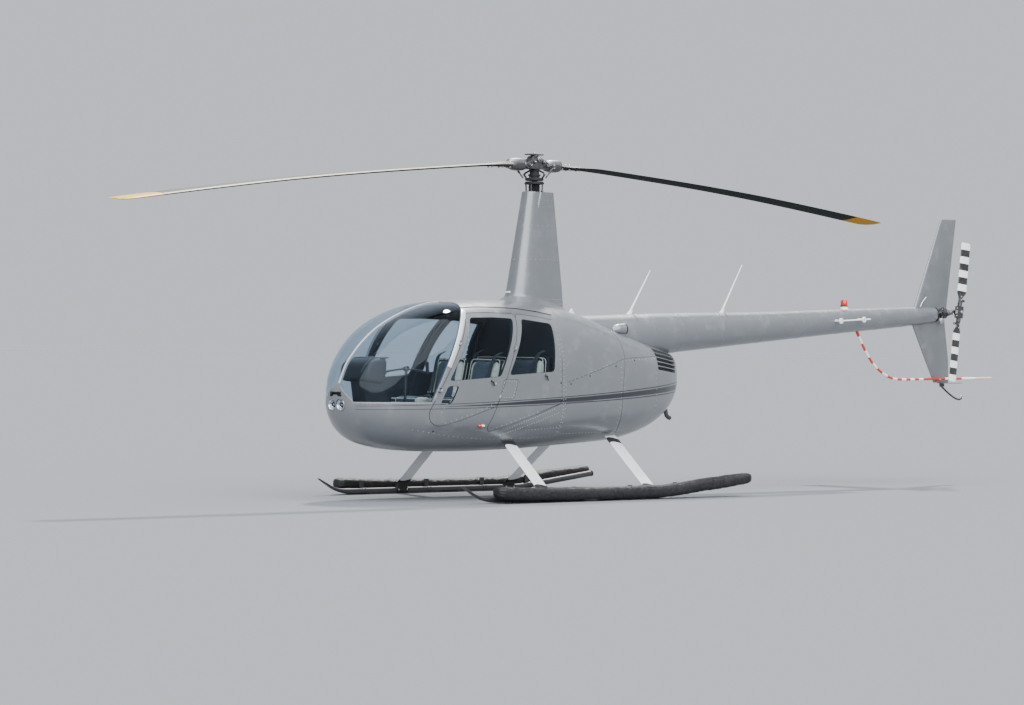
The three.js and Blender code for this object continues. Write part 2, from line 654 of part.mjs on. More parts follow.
function skidBody() {
  const tube = bar(skidPath.map(([x, z]) => [x, -skidY, z]), skidR, 16);
  const shoe = (x0, x1) => box(x0, x1, -skidY - 20, -skidY + 20, 0, 14);
  let body = tube.add(shoe(-1180, -260)).add(shoe(-60, 640));
  for (const [x, z] of bagPlates) {
    body = body.add(box(x - 25, x + 25, -skidY - 31.7, -skidY - 18, z, z + 100));
  }
  return body;
}

function bagBody() {
  const rings = bagPath.map((b) => Array.from({ length: 16 }, (_, j) => {
    const t = (2 * Math.PI * j) / 16;
    const c = Math.sign(Math.cos(t)) * Math.abs(Math.cos(t)) ** 0.72;
    const s = Math.sign(Math.sin(t)) * Math.abs(Math.sin(t)) ** 0.72;
    return [b.x, -bagY + c * b.w, b.z + s * b.h];
  }));
  return loft(rings);
}

function legBody(leg) {
  const rings = [leg.top, leg.foot].map(([x, y, z]) => foil(leg.chord, leg.thick, 16)
    .map(([a, b]) => [x - leg.chord * 0.45 + a, -y + b * 0.66, z + b * 0.75]));
  const tube = bar(skidPath.map(([x, z]) => [x, -skidY, z]), skidR + gap, 16);
  const [x, y, z] = leg.foot;
  const clasp = bar([[x - 72, -skidY, skidFloor], [x + 72, -skidY, skidFloor]], 31.5, 16);
  const rim = (x0, x1, y0, y1, h) => [[x0, y0, h], [x1, y0, h], [x1, y1, h], [x0, y1, h]];
  const saddle = loft([rim(x - 72, x + 72, -skidY - 30, -skidY + 30, skidFloor),
    rim(x - 64, x + 66, -y - 16, -y + 26, z + 10)]);
  const cuff = clasp.add(saddle);
  return loft(rings).add(cuff).subtract(hullGrown).subtract(tube)
    .subtract(box(-3000, 3000, -1100, -900, -50, 15));
}

// an air scoop on the port side of the tail cone, open aft: half sunk rings along the cone
function scoopBody() {
  const [c, sn] = [Math.cos(scoop.turn), Math.sin(scoop.turn)];
  const round = new THREE.Vector3(0, sn, c);
  const out = new THREE.Vector3(0, -c, sn);
  const [middleY, middleZ] = [-scoop.coneR * c, scoop.coneZ + scoop.coneR * sn];
  const arch = (x, high, wide) => ringOf(
    new THREE.Vector3(x, middleY, middleZ), round, out, wide / 2, high, 12);
  const [high, wide] = [scoop.high, scoop.wide];
  const hood = loft([arch(scoop.x0, 10, wide * 0.6), arch(scoop.x0 + 60, high * 0.75, wide * 0.9),
    arch(scoop.x1, high, wide)]);
  const mouth = loft([arch(scoop.x0 + 80, high * 0.7, wide * 0.8), arch(scoop.x1 + 5, high - 4, wide - 8)]);
  return hood.subtract(mouth).subtract(coneSolid(gap)).subtract(hullGrown);
}

// a swept blade antenna standing on the roof cowl
function finAntennaBody() {
  const { x, chord, z, top, sweep, tip } = finAntenna;
  const row = (x0, x1, t, h) => foil(x1 - x0, t, 12).map(([a, b]) => [x0 + a, b, h]);
  return loft([row(x, x + chord, 20, z), row(x + sweep, x + sweep + tip, 8, top)])
    .subtract(hullGrown).subtract(coneSolid(gap));
}

// side view of the lower part of a front seat
const frontCushion = [
  [-1430, 612.5], [-1430, 895], [-1395, 932], [-1010, 888], [-900, 888], [-900, 612.5],
];

// a seat back leaning aft
function seatBack(x, y0, y1, z0, z1, lean, depth) {
  const outline = [[x, z0], [x + depth, z0], [x + depth + lean, z1], [x + lean, z1]];
  return prism(outline, y0, y1);
}

function consoleBody() {
  const foot = prism([[-2100, 612.4], [-1790, 612.4], [-1850, 880], [-1990, 1090], [-2190, 1120]], -95, 95);
  const head = prism([[-2243, 1095], [-2216, 1252], [-2110, 1298], [-1984, 1303], [-1978, 1205],
    [-2010, 1065]], -200, 200);
  return foot.add(head);
}

function cyclicBody() {
  const post = bar([[-1555, 0, 600], [-1600, 0, 900], [-1590, 0, 1190]], 15, 12);
  const pivot = bar([[-1590, -22, 1205], [-1590, 22, 1205]], 26, 14);
  const cross = bar([[-1590, -310, 1168], [-1590, 0, 1205], [-1590, 310, 1168]], 11, 10);
  const grip = bar([[-1590, -300, 1150], [-1605, -302, 1276]], 17, 12);
  return post.add(pivot).add(cross).add(grip).add(mirrored(grip))
    .subtract(box(-1700, -1400, -50, 50, 500, 612.4));
}

function beaconBody() {
  const foot = drum(40, 46, 38, 24).translate([4400, 0, 1822]);
  return foot.subtract(coneSolid(gap)).add(drum(62, 34, 24, 20).translate([4400, 0, 1860]));
}

function towelBar() {
  const rail = bar([[4110, -190, 1699], [4525, -190, 1718]], 9, 12);
  const stand = (x, z) => bar([[x, -60, z - 4], [x, -190, z]], 8, 12);
  return rail.add(stand(4132, 1700)).add(stand(4484, 1716)).subtract(coneSolid(gap));
}

function whip(x, z, x1, z1) {
  const rod = bar([[x, 0, z - 30], [x1, 0, z1]], [7, 3.5], 10);
  const foot = drum(40, 26, 12, 16).translate([x, 0, z - 12]);
  return rod.add(foot).subtract(coneSolid(gap));
}

function faceted(body) {
  const mesh = body.getMesh();
  const geometry = new THREE.BufferGeometry();
  const np = mesh.numProp;
  const count = mesh.vertProperties.length / np;
  const position = new Float32Array(count * 3);
  for (let i = 0; i < count; i += 1) {
    for (let k = 0; k < 3; k += 1) position[i * 3 + k] = mesh.vertProperties[i * np + k];
  }
  geometry.setAttribute('position', new THREE.BufferAttribute(position, 3));
  geometry.setIndex(new THREE.BufferAttribute(new Uint32Array(mesh.triVerts), 1));
  return geometry;
}

const root = new THREE.Group();
root.name = 'helicopter';

// the largest connected body of a cut result
function mainBody(body) {
  const parts = body.decompose();
  parts.sort((a, b) => b.volume() - a.volume());
  return parts[0];
}

function put(name, material, body) {
  const one = mainBody(body.translate([shiftX, 0, 0]));
  const mesh = new THREE.Mesh(faceted(one), materials[material]);
  mesh.name = name;
  root.add(mesh);
}

function putPair(name, material, body) {
  put(`left_${name}`, material, body);
  put(`right_${name}`, material, mirrored(body));
}

const cabin = cabinBodies();
put('lower_hull', 'painted_metal_silver', cabin.lowerHull);
put('cabin_frame', 'painted_metal_silver', cabin.frame);
put('windshield_bow', 'painted_metal_silver', cabin.bow);
put('engine_bay_panels', 'painted_metal_silver', cabin.lowerAft);
put('upper_cowl', 'painted_metal_silver', cabin.upperCowl);
put('rear_cowl', 'painted_metal_silver', cabin.rearCowl);
const screen = pane.intersect(windshieldRegion(gap + 0.3)).intersect(box(-2600, -1000, -900, -12, 700, 2000));
putPair('windshield', 'glass', screen);
putPair('front_door', 'painted_metal_silver',
  doorBody(frontDoor, [frontWindow, lowWindow], hinges.front, hinges.rear));
putPair('rear_door', 'painted_metal_silver', doorBody(rearDoor, [rearWindow], hinges.rear, []));
putPair('front_door_window', 'glass', paneBody(frontWindow));
putPair('rear_door_window', 'glass', paneBody(rearWindow));
put('cabin_floor', 'matte_plastic_dark', inboard.intersect(box(-2120, -156, -470, 470, 596, 612)));
put('rear_bulkhead', 'painted_metal_grey', inboard.intersect(box(-155, -131, -800, 800, 500, 1900)));
put('instrument_console', 'matte_plastic_dark', consoleBody().intersect(hullBody(wallDepth + 4)));
put('cyclic_stick', 'painted_metal_black', cyclicBody());
const roomy = hullBody(wallDepth + 2);
putPair('front_seat', 'fabric_dark', prism(frontCushion, -455, -30)
  .add(seatBack(-960, -450, -40, 800, 1290, 110, 90)).intersect(roomy));
put('rear_seat', 'fabric_dark', box(-640, -250, -500, 500, 612.5, 900)
  .add(seatBack(-370, -480, 480, 860, 1330, 30, 85)).intersect(roomy));
put('engine_block', 'brushed_steel', box(200, 900, -300, 300, 450, 1060).intersect(inboard));
put('mast_fairing', 'painted_metal_silver', fairingBody());
put('swashplate', 'brushed_steel', swashBody());
put('rotor_mast', 'brushed_steel', mastBody());
put('rotor_hub', 'painted_metal_grey', hubBody().rotate([0, 0, rotorAzimuth])
  .subtract(drum(100.3, 34.3, 34.3, 20).translate([0, 0, 3000])));
put('main_blade_1', 'painted_metal_grey', bladeBody(rotorTeeter).rotate([0, 0, rotorAzimuth]));
put('main_blade_2', 'painted_metal_grey', bladeBody(-rotorTeeter).rotate([0, 0, 180 + rotorAzimuth]));
put('tailcone', 'painted_metal_silver', coneBody());
put('upper_fin', 'painted_metal_silver', upperFin);
put('lower_fin', 'painted_metal_silver', lowerFin);
put('horizontal_stabilizer', 'painted_metal_silver', stabilizerBody());
put('fin_end_plate', 'painted_metal_silver', box(5930, 6260, -62, 62, 1055, 1063));
put('tail_gearbox', 'aluminium', gearboxBody().subtract(coneSolid(gap)));
put('tail_rotor_hub', 'painted_metal_black', tailHubBody());
put('tail_blade_1', 'painted_metal_white', placeTail(tailBladeBody()));
put('tail_blade_2', 'painted_metal_white', placeTail(tailBladeBody().rotate([0, 180, 0])));
put('tail_guard', 'painted_metal_red', guardBody());
put('tail_skid', 'painted_metal_white', tailSkidBody());
putPair('skid', 'painted_metal_black', skidBody());
putPair('float_bag', 'rubber_black', bagBody());
for (const leg of legs) putPair(`${leg.name}_leg`, 'painted_metal_silver', legBody(leg));
put('landing_lamps', 'aluminium', lampBody());
put('cooling_scoop', 'painted_metal_silver', scoopBody());
put('fin_antenna', 'painted_metal_white', finAntennaBody());
put('beacon', 'red_plastic', beaconBody());
put('rail_antenna', 'painted_metal_white', towelBar());
put('front_whip_antenna', 'painted_metal_white', whip(1280, 1741, 1570, 2170));
put('rear_whip_antenna', 'painted_metal_white', whip(2570, 1762, 2870, 2250));

export default root;
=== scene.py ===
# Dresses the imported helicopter: painted skins, glass, cabin, rotors and landing gear.
# Metres, X aft, Y to starboard, Z up. Tables count x from the mast axis, which stands at mastX.
import json
import math

import bmesh
import bpy
import numpy as np
from mathutils import Matrix, Vector
from mathutils.geometry import delaunay_2d_cdt


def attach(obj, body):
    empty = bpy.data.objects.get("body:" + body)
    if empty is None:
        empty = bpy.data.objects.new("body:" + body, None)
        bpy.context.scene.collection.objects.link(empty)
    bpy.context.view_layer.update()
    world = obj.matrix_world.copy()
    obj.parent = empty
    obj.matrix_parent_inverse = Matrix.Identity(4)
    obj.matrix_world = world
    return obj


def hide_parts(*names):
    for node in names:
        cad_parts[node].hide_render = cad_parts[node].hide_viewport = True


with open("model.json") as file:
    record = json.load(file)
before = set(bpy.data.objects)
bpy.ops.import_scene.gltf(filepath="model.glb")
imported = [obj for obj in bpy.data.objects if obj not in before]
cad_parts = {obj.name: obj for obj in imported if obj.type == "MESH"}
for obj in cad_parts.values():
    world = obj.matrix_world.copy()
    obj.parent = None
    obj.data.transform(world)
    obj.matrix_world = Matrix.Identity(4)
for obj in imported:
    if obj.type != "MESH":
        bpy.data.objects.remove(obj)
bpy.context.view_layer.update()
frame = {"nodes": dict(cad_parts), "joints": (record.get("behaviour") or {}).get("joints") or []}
nodes = frame["nodes"]
joints = {j["name"]: j for j in frame["joints"]}
mastX = joints["main_rotor_turn"]["pos_m"][0]
tailHub = np.array(joints["tail_rotor_turn"]["pos_m"])
random = np.random.default_rng(44)
print("frame loaded:", len(nodes), "nodes")


# camera, fitted to the photograph
view = {
    "place": (-23.3735, -24.8691, 1.509),  # from the mast axis
    "yaw": 0.7487,  # from +Y towards +X, radians
    "pitch": -0.0045,
    "roll": 0.0101,
    "lens": 126.57,
    "sensor": 36.0,
}


def placeCamera(v):
    # looks along the yaw and pitch, and leans about its line of sight by the roll
    ahead = np.array([
        math.sin(v["yaw"]) * math.cos(v["pitch"]),
        math.cos(v["yaw"]) * math.cos(v["pitch"]),
        math.sin(v["pitch"]),
    ])
    right = np.array([math.cos(v["yaw"]), -math.sin(v["yaw"]), 0.0])
    up = np.cross(right, ahead)
    c, s = math.cos(v["roll"]), math.sin(v["roll"])
    data = bpy.data.cameras.new("camera")
    data.lens = v["lens"]
    data.sensor_width = v["sensor"]
    data.sensor_fit = "HORIZONTAL"
    data.clip_end = 300
    camera = bpy.data.objects.new("camera", data)
    bpy.context.collection.objects.link(camera)
    turned = np.eye(4)
    turned[:3, 0] = c * right + s * up
    turned[:3, 1] = -s * right + c * up
    turned[:3, 2] = -ahead
    turned[:3, 3] = np.array(v["place"]) + (mastX, 0, 0)
    camera.matrix_world = Matrix(turned.tolist())
    bpy.context.scene.camera = camera


placeCamera(view)
print("camera placed")


# curves and shapes: a shape is a list of points and a list of face arrays

def unit(v):
    # rows divided by their lengths
    v = np.asarray(v, float)
    return v / np.maximum(np.linalg.norm(v, axis=-1, keepdims=True), 1e-12)


def stacked(*columns):
    # columns of any matching shapes as points
    return np.stack(np.broadcast_arrays(*columns), -1)


def smoothCurve(knots, values, at):
    # a cubic between knots; its slope at a knot is a weighted harmonic mean of the neighbour slopes
    knots, values, at = (np.asarray(v, float) for v in (knots, values, at))
    step = np.diff(knots)
    rise = np.diff(values) / step
    same = rise[:-1] * rise[1:] > 0
    w1 = 2 * step[1:] + step[:-1]
    w2 = step[1:] + 2 * step[:-1]
    before = np.where(same, rise[:-1], 1.0)
    after = np.where(same, rise[1:], 1.0)
    mean = np.where(same, (w1 + w2) / (w1 / before + w2 / after), 0.0)
    slope = np.concatenate([rise[:1], mean, rise[-1:]])
    i = np.clip(np.searchsorted(knots, at, side="right") - 1, 0, len(step) - 1)
    f = (at - knots[i]) / step[i]
    h = step[i]
    return (
        values[i] * (1 + 2 * f) * (1 - f) ** 2
        + slope[i] * h * f * (1 - f) ** 2
        + values[i + 1] * f * f * (3 - 2 * f)
        + slope[i + 1] * h * f * f * (f - 1)
    )


def smoothPath(points, count):
    # points of a path resampled evenly along it, each axis by smoothCurve over the length
    points = np.asarray(points, float)
    length = np.concatenate([[0], np.cumsum(np.linalg.norm(np.diff(points, axis=0), axis=1))])
    at = np.linspace(0, length[-1], count)
    return np.stack([smoothCurve(length, points[:, k], at) for k in range(points.shape[1])], -1)


def softOutline(points, radius, step):
    # a closed outline whose corners are quadratic curves from radius before to radius after each corner
    points = np.asarray(points, float)
    out = []
    for i, corner in enumerate(points):
        before, after = points[i - 1] - corner, points[(i + 1) % len(points)] - corner
        reach = min(radius, 0.48 * np.linalg.norm(before), 0.48 * np.linalg.norm(after))
        a, b = corner + unit(before) * reach, corner + unit(after) * reach
        t = np.linspace(0, 1, 7)[:, None]
        out.append(a * (1 - t) ** 2 + 2 * corner * t * (1 - t) + b * t * t)
    return evenly(np.vstack(out), step, closed=True)


def evenly(points, step, closed=False):
    # the same line with points at equal distances near step
    points = np.asarray(points, float)
    if closed:
        points = np.vstack([points, points[:1]])
    length = np.concatenate([[0], np.cumsum(np.linalg.norm(np.diff(points, axis=0), axis=1))])
    count = max(int(round(length[-1] / step)), 3)
    at = np.linspace(0, length[-1], count + 1)
    if closed:
        at = at[:-1]
    return np.stack([np.interp(at, length, points[:, k]) for k in range(points.shape[1])], -1)


def shrunk(loop, distance):
    # each point of a closed loop moved square to the loop, inwards for a positive distance
    tangent = unit(np.roll(loop, -1, 0) - np.roll(loop, 1, 0))
    x, y = loop.T
    area = np.sum(x * np.roll(y, -1) - np.roll(x, -1) * y)
    inward = np.stack([-tangent[:, 1], tangent[:, 0]], -1) * np.sign(area)
    return loop + inward * distance


def inside(points, loop):
    # even-odd rule: a point is inside when a ray towards +x meets the loop an odd number of times
    x, y = points[:, :1], points[:, 1:2]
    x0, y0 = loop.T
    x1, y1 = np.roll(loop, -1, 0).T
    crosses = (y0 > y) != (y1 > y)
    at = x0 + (y - y0) * (x1 - x0) / np.where(y1 == y0, 1e-12, y1 - y0)
    return np.sum(crosses & (x < at), axis=1) % 2 == 1


def outward(points, faces):
    # a closed shape turned so that its volume, the sum of a . (b x c) / 6, is positive
    volume = 0.0
    for f in faces:
        for corners in ([0, 1, 2], [0, 2, 3])[:f.shape[1] - 2]:
            a, b, c = (points[f[:, k]] for k in corners)
            volume += np.einsum("ij,ij->", a, np.cross(b, c))
    return (points, [f[:, ::-1] for f in faces]) if volume < 0 else (points, faces)


def gridShape(rows, ends="caps"):
    # quads between neighbour rings of a (rings, points, 3) array; ends are caps, or a loop closed on itself
    count, width = rows.shape[:2]
    flat = rows.reshape(-1, 3)
    last = count if ends == "loop" else count - 1
    i, j = np.meshgrid(np.arange(last), np.arange(width), indexing="ij")
    n, k = (i + 1) % count, (j + 1) % width
    faces = [np.stack([i * width + j, i * width + k, n * width + k, n * width + j], -1).reshape(-1, 4)]
    if ends == "caps":
        ring = np.arange(width)
        after = np.roll(ring, -1)
        mids = len(flat) + np.arange(2)
        flat = np.vstack([flat, rows[0].mean(0), rows[-1].mean(0)])
        faces.append(np.stack([np.full(width, mids[0]), after, ring], -1))
        low = (count - 1) * width
        faces.append(np.stack([np.full(width, mids[1]), low + ring, low + after], -1))
    return outward(flat, faces)


def evenTurns(count, start=0.0):
    # angles at equal steps round a circle; start is a share of one step
    return (np.arange(count) + start) * 2 * np.pi / count


def ringPath(sides, power=2.0):
    # a superellipse of radius one: cos and sin raised to 2 / power with their signs
    turn = evenTurns(sides, 0.5)
    c, s = np.cos(turn), np.sin(turn)
    return np.sign(c) * np.abs(c) ** (2 / power), np.sign(s) * np.abs(s) ** (2 / power)


def sweepShape(path, side, up, a, b, ends="caps"):
    # at each path point a ring of side * a + up * b; a and b are one ring or one for each point
    a, b = np.atleast_2d(a), np.atleast_2d(b)
    rings = path[:, None] + side[:, None] * a[..., None] + up[:, None] * b[..., None]
    return gridShape(rings, ends)


def tubeShape(path, radius, sides=14, power=2.0, ends="caps"):
    # rings square to the path; their first axis lies in the path's own plane
    path = np.asarray(path, float)
    if ends == "loop":
        tangent = unit(np.roll(path, -1, 0) - np.roll(path, 1, 0))
    else:
        tangent = unit(np.gradient(path, axis=0))
    thin = np.linalg.svd(path - path.mean(0))[2][-1]
    side = unit(np.cross(tangent, thin))
    up = np.cross(side, tangent)
    radius = np.asarray(radius, float)
    if radius.ndim < 2:
        radius = np.stack([np.broadcast_to(radius, len(path))] * 2, -1)
    a, b = ringPath(sides, power)
    return sweepShape(path, side, up, radius[:, :1] * a, radius[:, 1:] * b, ends)


def latheShape(profile, start, axis, sides=28):
    # a profile of (distance along the axis, radius) turned about the axis
    profile = np.asarray(profile, float)
    axis = unit(axis)
    side = unit(np.cross(axis, (0.31, 0.87, 0.38)))
    up = np.cross(axis, side)
    turn = evenTurns(sides)
    spoke = np.cos(turn)[:, None] * side + np.sin(turn)[:, None] * up
    rings = np.asarray(start, float) + axis * profile[:, :1, None] + spoke * profile[:, 1:, None]
    return gridShape(rings)


def rodShape(start, end, radius, sides=14, soft=0.15):
    # a round bar with a small chamfer at both ends
    start, end = np.asarray(start, float), np.asarray(end, float)
    length = np.linalg.norm(end - start)
    c = soft * radius
    profile = [(0, radius - c), (c, radius), (length - c, radius), (length, radius - c)]
    return latheShape(profile, start, end - start, sides)


def boxShape(low, high):
    # the eight corners between two opposite ones
    low, high = np.asarray(low, float), np.asarray(high, float)
    pick = np.array([[i & 1, i >> 1 & 1, i >> 2 & 1] for i in range(8)])
    points = np.where(pick == 1, high, low)
    faces = np.array([[0, 2, 3, 1], [4, 5, 7, 6], [0, 1, 5, 4], [2, 6, 7, 3], [0, 4, 6, 2], [1, 3, 7, 5]])
    return outward(points, [faces])


def blobShape(centre, size, power=2.6, rows=14, sides=24):
    # a superellipsoid: a half turn of rings from pole to pole, both ways with rounded powers
    lift = np.linspace(-np.pi / 2, np.pi / 2, rows + 2)[1:-1]
    c = np.cos(lift) ** (2 / power)
    s = np.sign(np.sin(lift)) * np.abs(np.sin(lift)) ** (2 / power)
    a, b = ringPath(sides, power)
    rings = np.stack([c[:, None] * a, c[:, None] * b, np.broadcast_to(s[:, None], (rows, sides))], -1)
    return gridShape(rings * (np.asarray(size, float) / 2) + np.asarray(centre, float))


def foilRing(count):
    # chord fractions by cosine spacing and half thicknesses of a symmetric wing section of thickness one
    turn = evenTurns(count)
    f = 0.5 * (1 - np.cos(turn))
    half = 5 * (0.2969 * np.sqrt(f) - 0.126 * f - 0.3516 * f ** 2 + 0.2843 * f ** 3 - 0.1015 * f ** 4)
    return f, np.sign(np.sin(turn)) * half


def foilShape(leading, chord, thick, count=36):
    # wing sections: leading edge point, chord vector and thickness vector of each row
    leading, chord, thick = (np.asarray(v, float) for v in (leading, chord, thick))
    f, half = foilRing(count)
    return gridShape(leading[:, None] + chord[:, None] * f[:, None] + thick[:, None] * half[:, None])


def slabShape(outline, low, high, soft, plane="xz"):
    # an outline carried across, its first and last rows drawn in by soft so that the rims are round
    t = np.linspace(0, np.pi / 2, 5)
    inset = np.concatenate([soft * (1 - np.sin(t)), soft * (1 - np.sin(t))[::-1]])
    across = np.concatenate([low + soft * (1 - np.cos(t)), high - soft * (1 - np.cos(t))[::-1]])
    rows = []
    for d, w in zip(inset, across):
        loop = shrunk(outline, d)
        flat = np.full(len(loop), w)
        x, other = loop.T
        rows.append(np.stack((x, flat, other) if plane == "xz" else (x, other, flat), -1))
    return gridShape(np.array(rows))


def domesShape(centres, normals, radius, height, sides=8):
    # many low domes at once: a foot ring, a half ring and a top for each centre
    centres, normals = np.asarray(centres, float), unit(normals)
    side = unit(np.cross(normals, (0.37, 0.21, 0.9)))
    up = np.cross(normals, side)
    turn = evenTurns(sides)
    spoke = side[:, None] * np.cos(turn)[:, None] + up[:, None] * np.sin(turn)[:, None]
    foot = centres[:, None] - normals[:, None] * height * 0.6 + spoke * radius
    half = centres[:, None] + normals[:, None] * height * 0.6 + spoke * radius * 0.75
    top = centres[:, None] + normals[:, None] * height
    points = np.concatenate([foot, half, top], 1)
    width = 2 * sides + 1
    j = np.arange(sides)
    k = (j + 1) % sides
    start = np.arange(len(centres))[:, None, None] * width
    quads = (np.stack([j, k, sides + k, sides + j], -1) + start).reshape(-1, 4)
    tips = (np.stack([sides + j, sides + k, np.full(sides, 2 * sides)], -1) + start).reshape(-1, 3)
    floor = (np.stack([np.zeros(sides - 2, int), j[2:], j[1:-1]], -1) + start).reshape(-1, 3)
    return points.reshape(-1, 3), [quads, tips, floor]


def turned(shape, matrix, move=(0, 0, 0)):
    # every point through a 3 by 3 matrix and then moved
    points, faces = shape
    matrix = np.asarray(matrix, float)
    faces = [f[:, ::-1] for f in faces] if np.linalg.det(matrix) < 0 else faces
    return points @ matrix.T + np.asarray(move, float), faces


def aboutAxis(axis, angle):
    # the matrix of a turn about an axis
    return np.array(Matrix.Rotation(angle, 3, Vector(axis)))


class Mould:
    # a mesh in the making: points with one value each, and faces with a material number
    def __init__(self):
        self.points, self.values, self.faces, self.count = [], [], [], 0

    def add(self, shape, material=0, value=0.0):
        points, faces = shape
        for group in faces:
            corners, number = group if isinstance(group, tuple) else (group, material)
            self.faces.append((corners + self.count, number))
        self.points.append(points)
        self.values.append(np.broadcast_to(np.asarray(value, float), len(points)))
        self.count += len(points)
        return self

    def twin(self):
        # the same mesh on the other side, its faces turned to keep looking outwards
        other = Mould()
        other.points = [p * (1, -1, 1) for p in self.points]
        other.values = list(self.values)
        other.faces = [(f[:, ::-1], m) for f, m in self.faces]
        other.count = self.count
        return other

    def join(self, other):
        # another mould's mesh after this one's
        self.faces += [(f + self.count, m) for f, m in other.faces]
        self.points += other.points
        self.values += other.values
        self.count += other.count
        return self

    def both(self):
        return self.join(self.twin())


def makePiece(mould, name, skins, slotName, replaced=(), body="airframe", weld=0.0, bevel=0.0, angle=38):
    # the mould's arrays as one mesh at the origin, riding on its body; skins are names of finishes
    mesh = bpy.data.meshes.new(name)
    points = np.vstack(mould.points)
    corners = np.concatenate([f.ravel() for f, _ in mould.faces])
    sizes = np.concatenate([np.full(len(f), f.shape[1]) for f, _ in mould.faces])
    numbers = np.concatenate([np.full(len(f), m) for f, m in mould.faces])
    mesh.vertices.add(len(points))
    mesh.vertices.foreach_set("co", points.ravel().astype(np.float32))
    mesh.loops.add(len(corners))
    mesh.loops.foreach_set("vertex_index", corners.astype(np.int32))
    mesh.polygons.add(len(sizes))
    mesh.polygons.foreach_set("loop_start", np.concatenate([[0], np.cumsum(sizes)[:-1]]).astype(np.int32))
    mesh.polygons.foreach_set("material_index", numbers.astype(np.int32))
    mesh.update(calc_edges=True)
    values = np.concatenate(mould.values).astype(np.float32)
    if np.any(values):
        mesh.attributes.new("along", "FLOAT", "POINT").data.foreach_set("value", values)
    for skin in skins.split():
        mesh.materials.append(finishes[skin])
    if weld:
        work = bmesh.new()
        work.from_mesh(mesh)
        bmesh.ops.remove_doubles(work, verts=work.verts, dist=weld)
        bmesh.ops.dissolve_degenerate(work, edges=work.edges, dist=1e-6)
        work.to_mesh(mesh)
        work.free()
    mesh.validate()
    mesh.shade_smooth()
    mesh.set_sharp_from_angle(angle=math.radians(angle))
    piece = bpy.data.objects.new(name, mesh)
    bpy.context.collection.objects.link(piece)
    if bevel:
        soft = piece.modifiers.new("softEdges", "BEVEL")
        soft.width = bevel
        soft.segments = 2
        soft.limit_method = "ANGLE"
        soft.angle_limit = math.radians(angle)
        soft.harden_normals = True
    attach(piece, body)
    if replaced:
        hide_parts(*replaced)
    return piece


def makePair(mould, name, skins, slotName, node="", body="", **rest):
    # the mould as the left piece and its twin as the right one; node and body come without their side
    pieces = []
    for side, one in (("left", mould), ("right", mould.twin())):
        replaced = [side + "_" + node] if node else []
        on = side + "_" + body if body else "airframe"
        pieces.append(makePiece(one, side + name, skins, slotName, replaced, on, **rest))
    return pieces


# finishes

class Value:
    # a socket in an expression: each operator adds a Math node
    def __init__(self, finish, socket):
        self.finish, self.socket = finish, socket

    def math(self, operation, *others):
        return self.finish.node("Math", {"operation": operation}, dict(enumerate((self, *others))))

    def __add__(self, other):
        return self.math("ADD", other)

    __radd__ = __add__

    def __sub__(self, other):
        return self.math("SUBTRACT", other)

    def __rsub__(self, other):
        return self.finish.node("Math", {"operation": "SUBTRACT"}, {0: other, 1: self})

    def __mul__(self, other):
        return self.math("MULTIPLY", other)

    __rmul__ = __mul__

    def __truediv__(self, other):
        return self.math("DIVIDE", other)

    def __pow__(self, other):
        return self.math("POWER", other)

    def low(self, other):
        return self.math("MINIMUM", other)

    def high(self, other):
        return self.math("MAXIMUM", other)

    def part(self):
        # the part after the point
        return self.math("FRACT")

    def size(self):
        return self.math("ABSOLUTE")

    def above(self, edge, soft):
        # 0 below the edge and 1 above it, over a width of soft
        ramp = (self - edge) / soft + 0.5
        return self.finish.node("Clamp", {}, {"Value": ramp})

    def between(self, low, high, soft):
        return self.above(low, soft) * (1 - self.above(high, soft))


class Finish:
    # one material; node() adds any node from its type, its settings and its sockets
    def __init__(self, name):
        self.material = bpy.data.materials.new(name)
        self.material.use_nodes = True
        self.tree = self.material.node_tree
        self.tree.nodes.clear()
        self.coordinates = None

    def node(self, kind, settings=None, sockets=None, out=0):
        # stops are the places and colours of a ramp
        made = self.tree.nodes.new("ShaderNode" + kind)
        for key, value in (settings or {}).items():
            if key == "stops":
                ramp = made.color_ramp
                while len(ramp.elements) < len(value):
                    ramp.elements.new(0.5)
                for element, (place, colour) in zip(ramp.elements, value):
                    element.position, element.color = place, (*colour, 1)
            else:
                setattr(made, key, value)
        for key, value in (sockets or {}).items():
            target = made.inputs[key]
            if isinstance(value, Value):
                self.tree.links.new(value.socket, target)
            elif isinstance(value, tuple) and len(value) == 3 and target.type == "RGBA":
                target.default_value = (*value, 1)
            else:
                target.default_value = value
        return Value(self, made.outputs[out]) if len(made.outputs) else made

    def place(self):
        if self.coordinates is None:
            self.coordinates = self.node("TexCoord", out="Object")
        return self.coordinates

    def axes(self):
        # x from the mast axis, y and z
        split = self.node("SeparateXYZ", {}, {0: self.place()}).socket.node
        x, y, z = (Value(self, split.outputs[k]) for k in range(3))
        return x - mastX, y, z

    def noise(self, scale, detail=2.0, rough=0.5, stretch=None):
        place = self.place()
        if stretch:
            place = self.node("Mapping", {}, {"Vector": place, "Scale": stretch})
        sockets = {"Vector": place, "Scale": scale, "Detail": detail, "Roughness": rough}
        return self.node("TexNoise", {}, sockets)

    def mix(self, factor, a, b):
        return self.node("Mix", {"data_type": "RGBA"}, {0: factor, 6: a, 7: b}, out=2)

    def bump(self, height, distance, strength=1.0):
        return self.node("Bump", {}, {"Height": height, "Distance": distance, "Strength": strength})

    def surface(self, sockets):
        shader = self.node("BsdfPrincipled", {}, sockets)
        self.node("OutputMaterial", {}, {"Surface": shader})
        return self.material


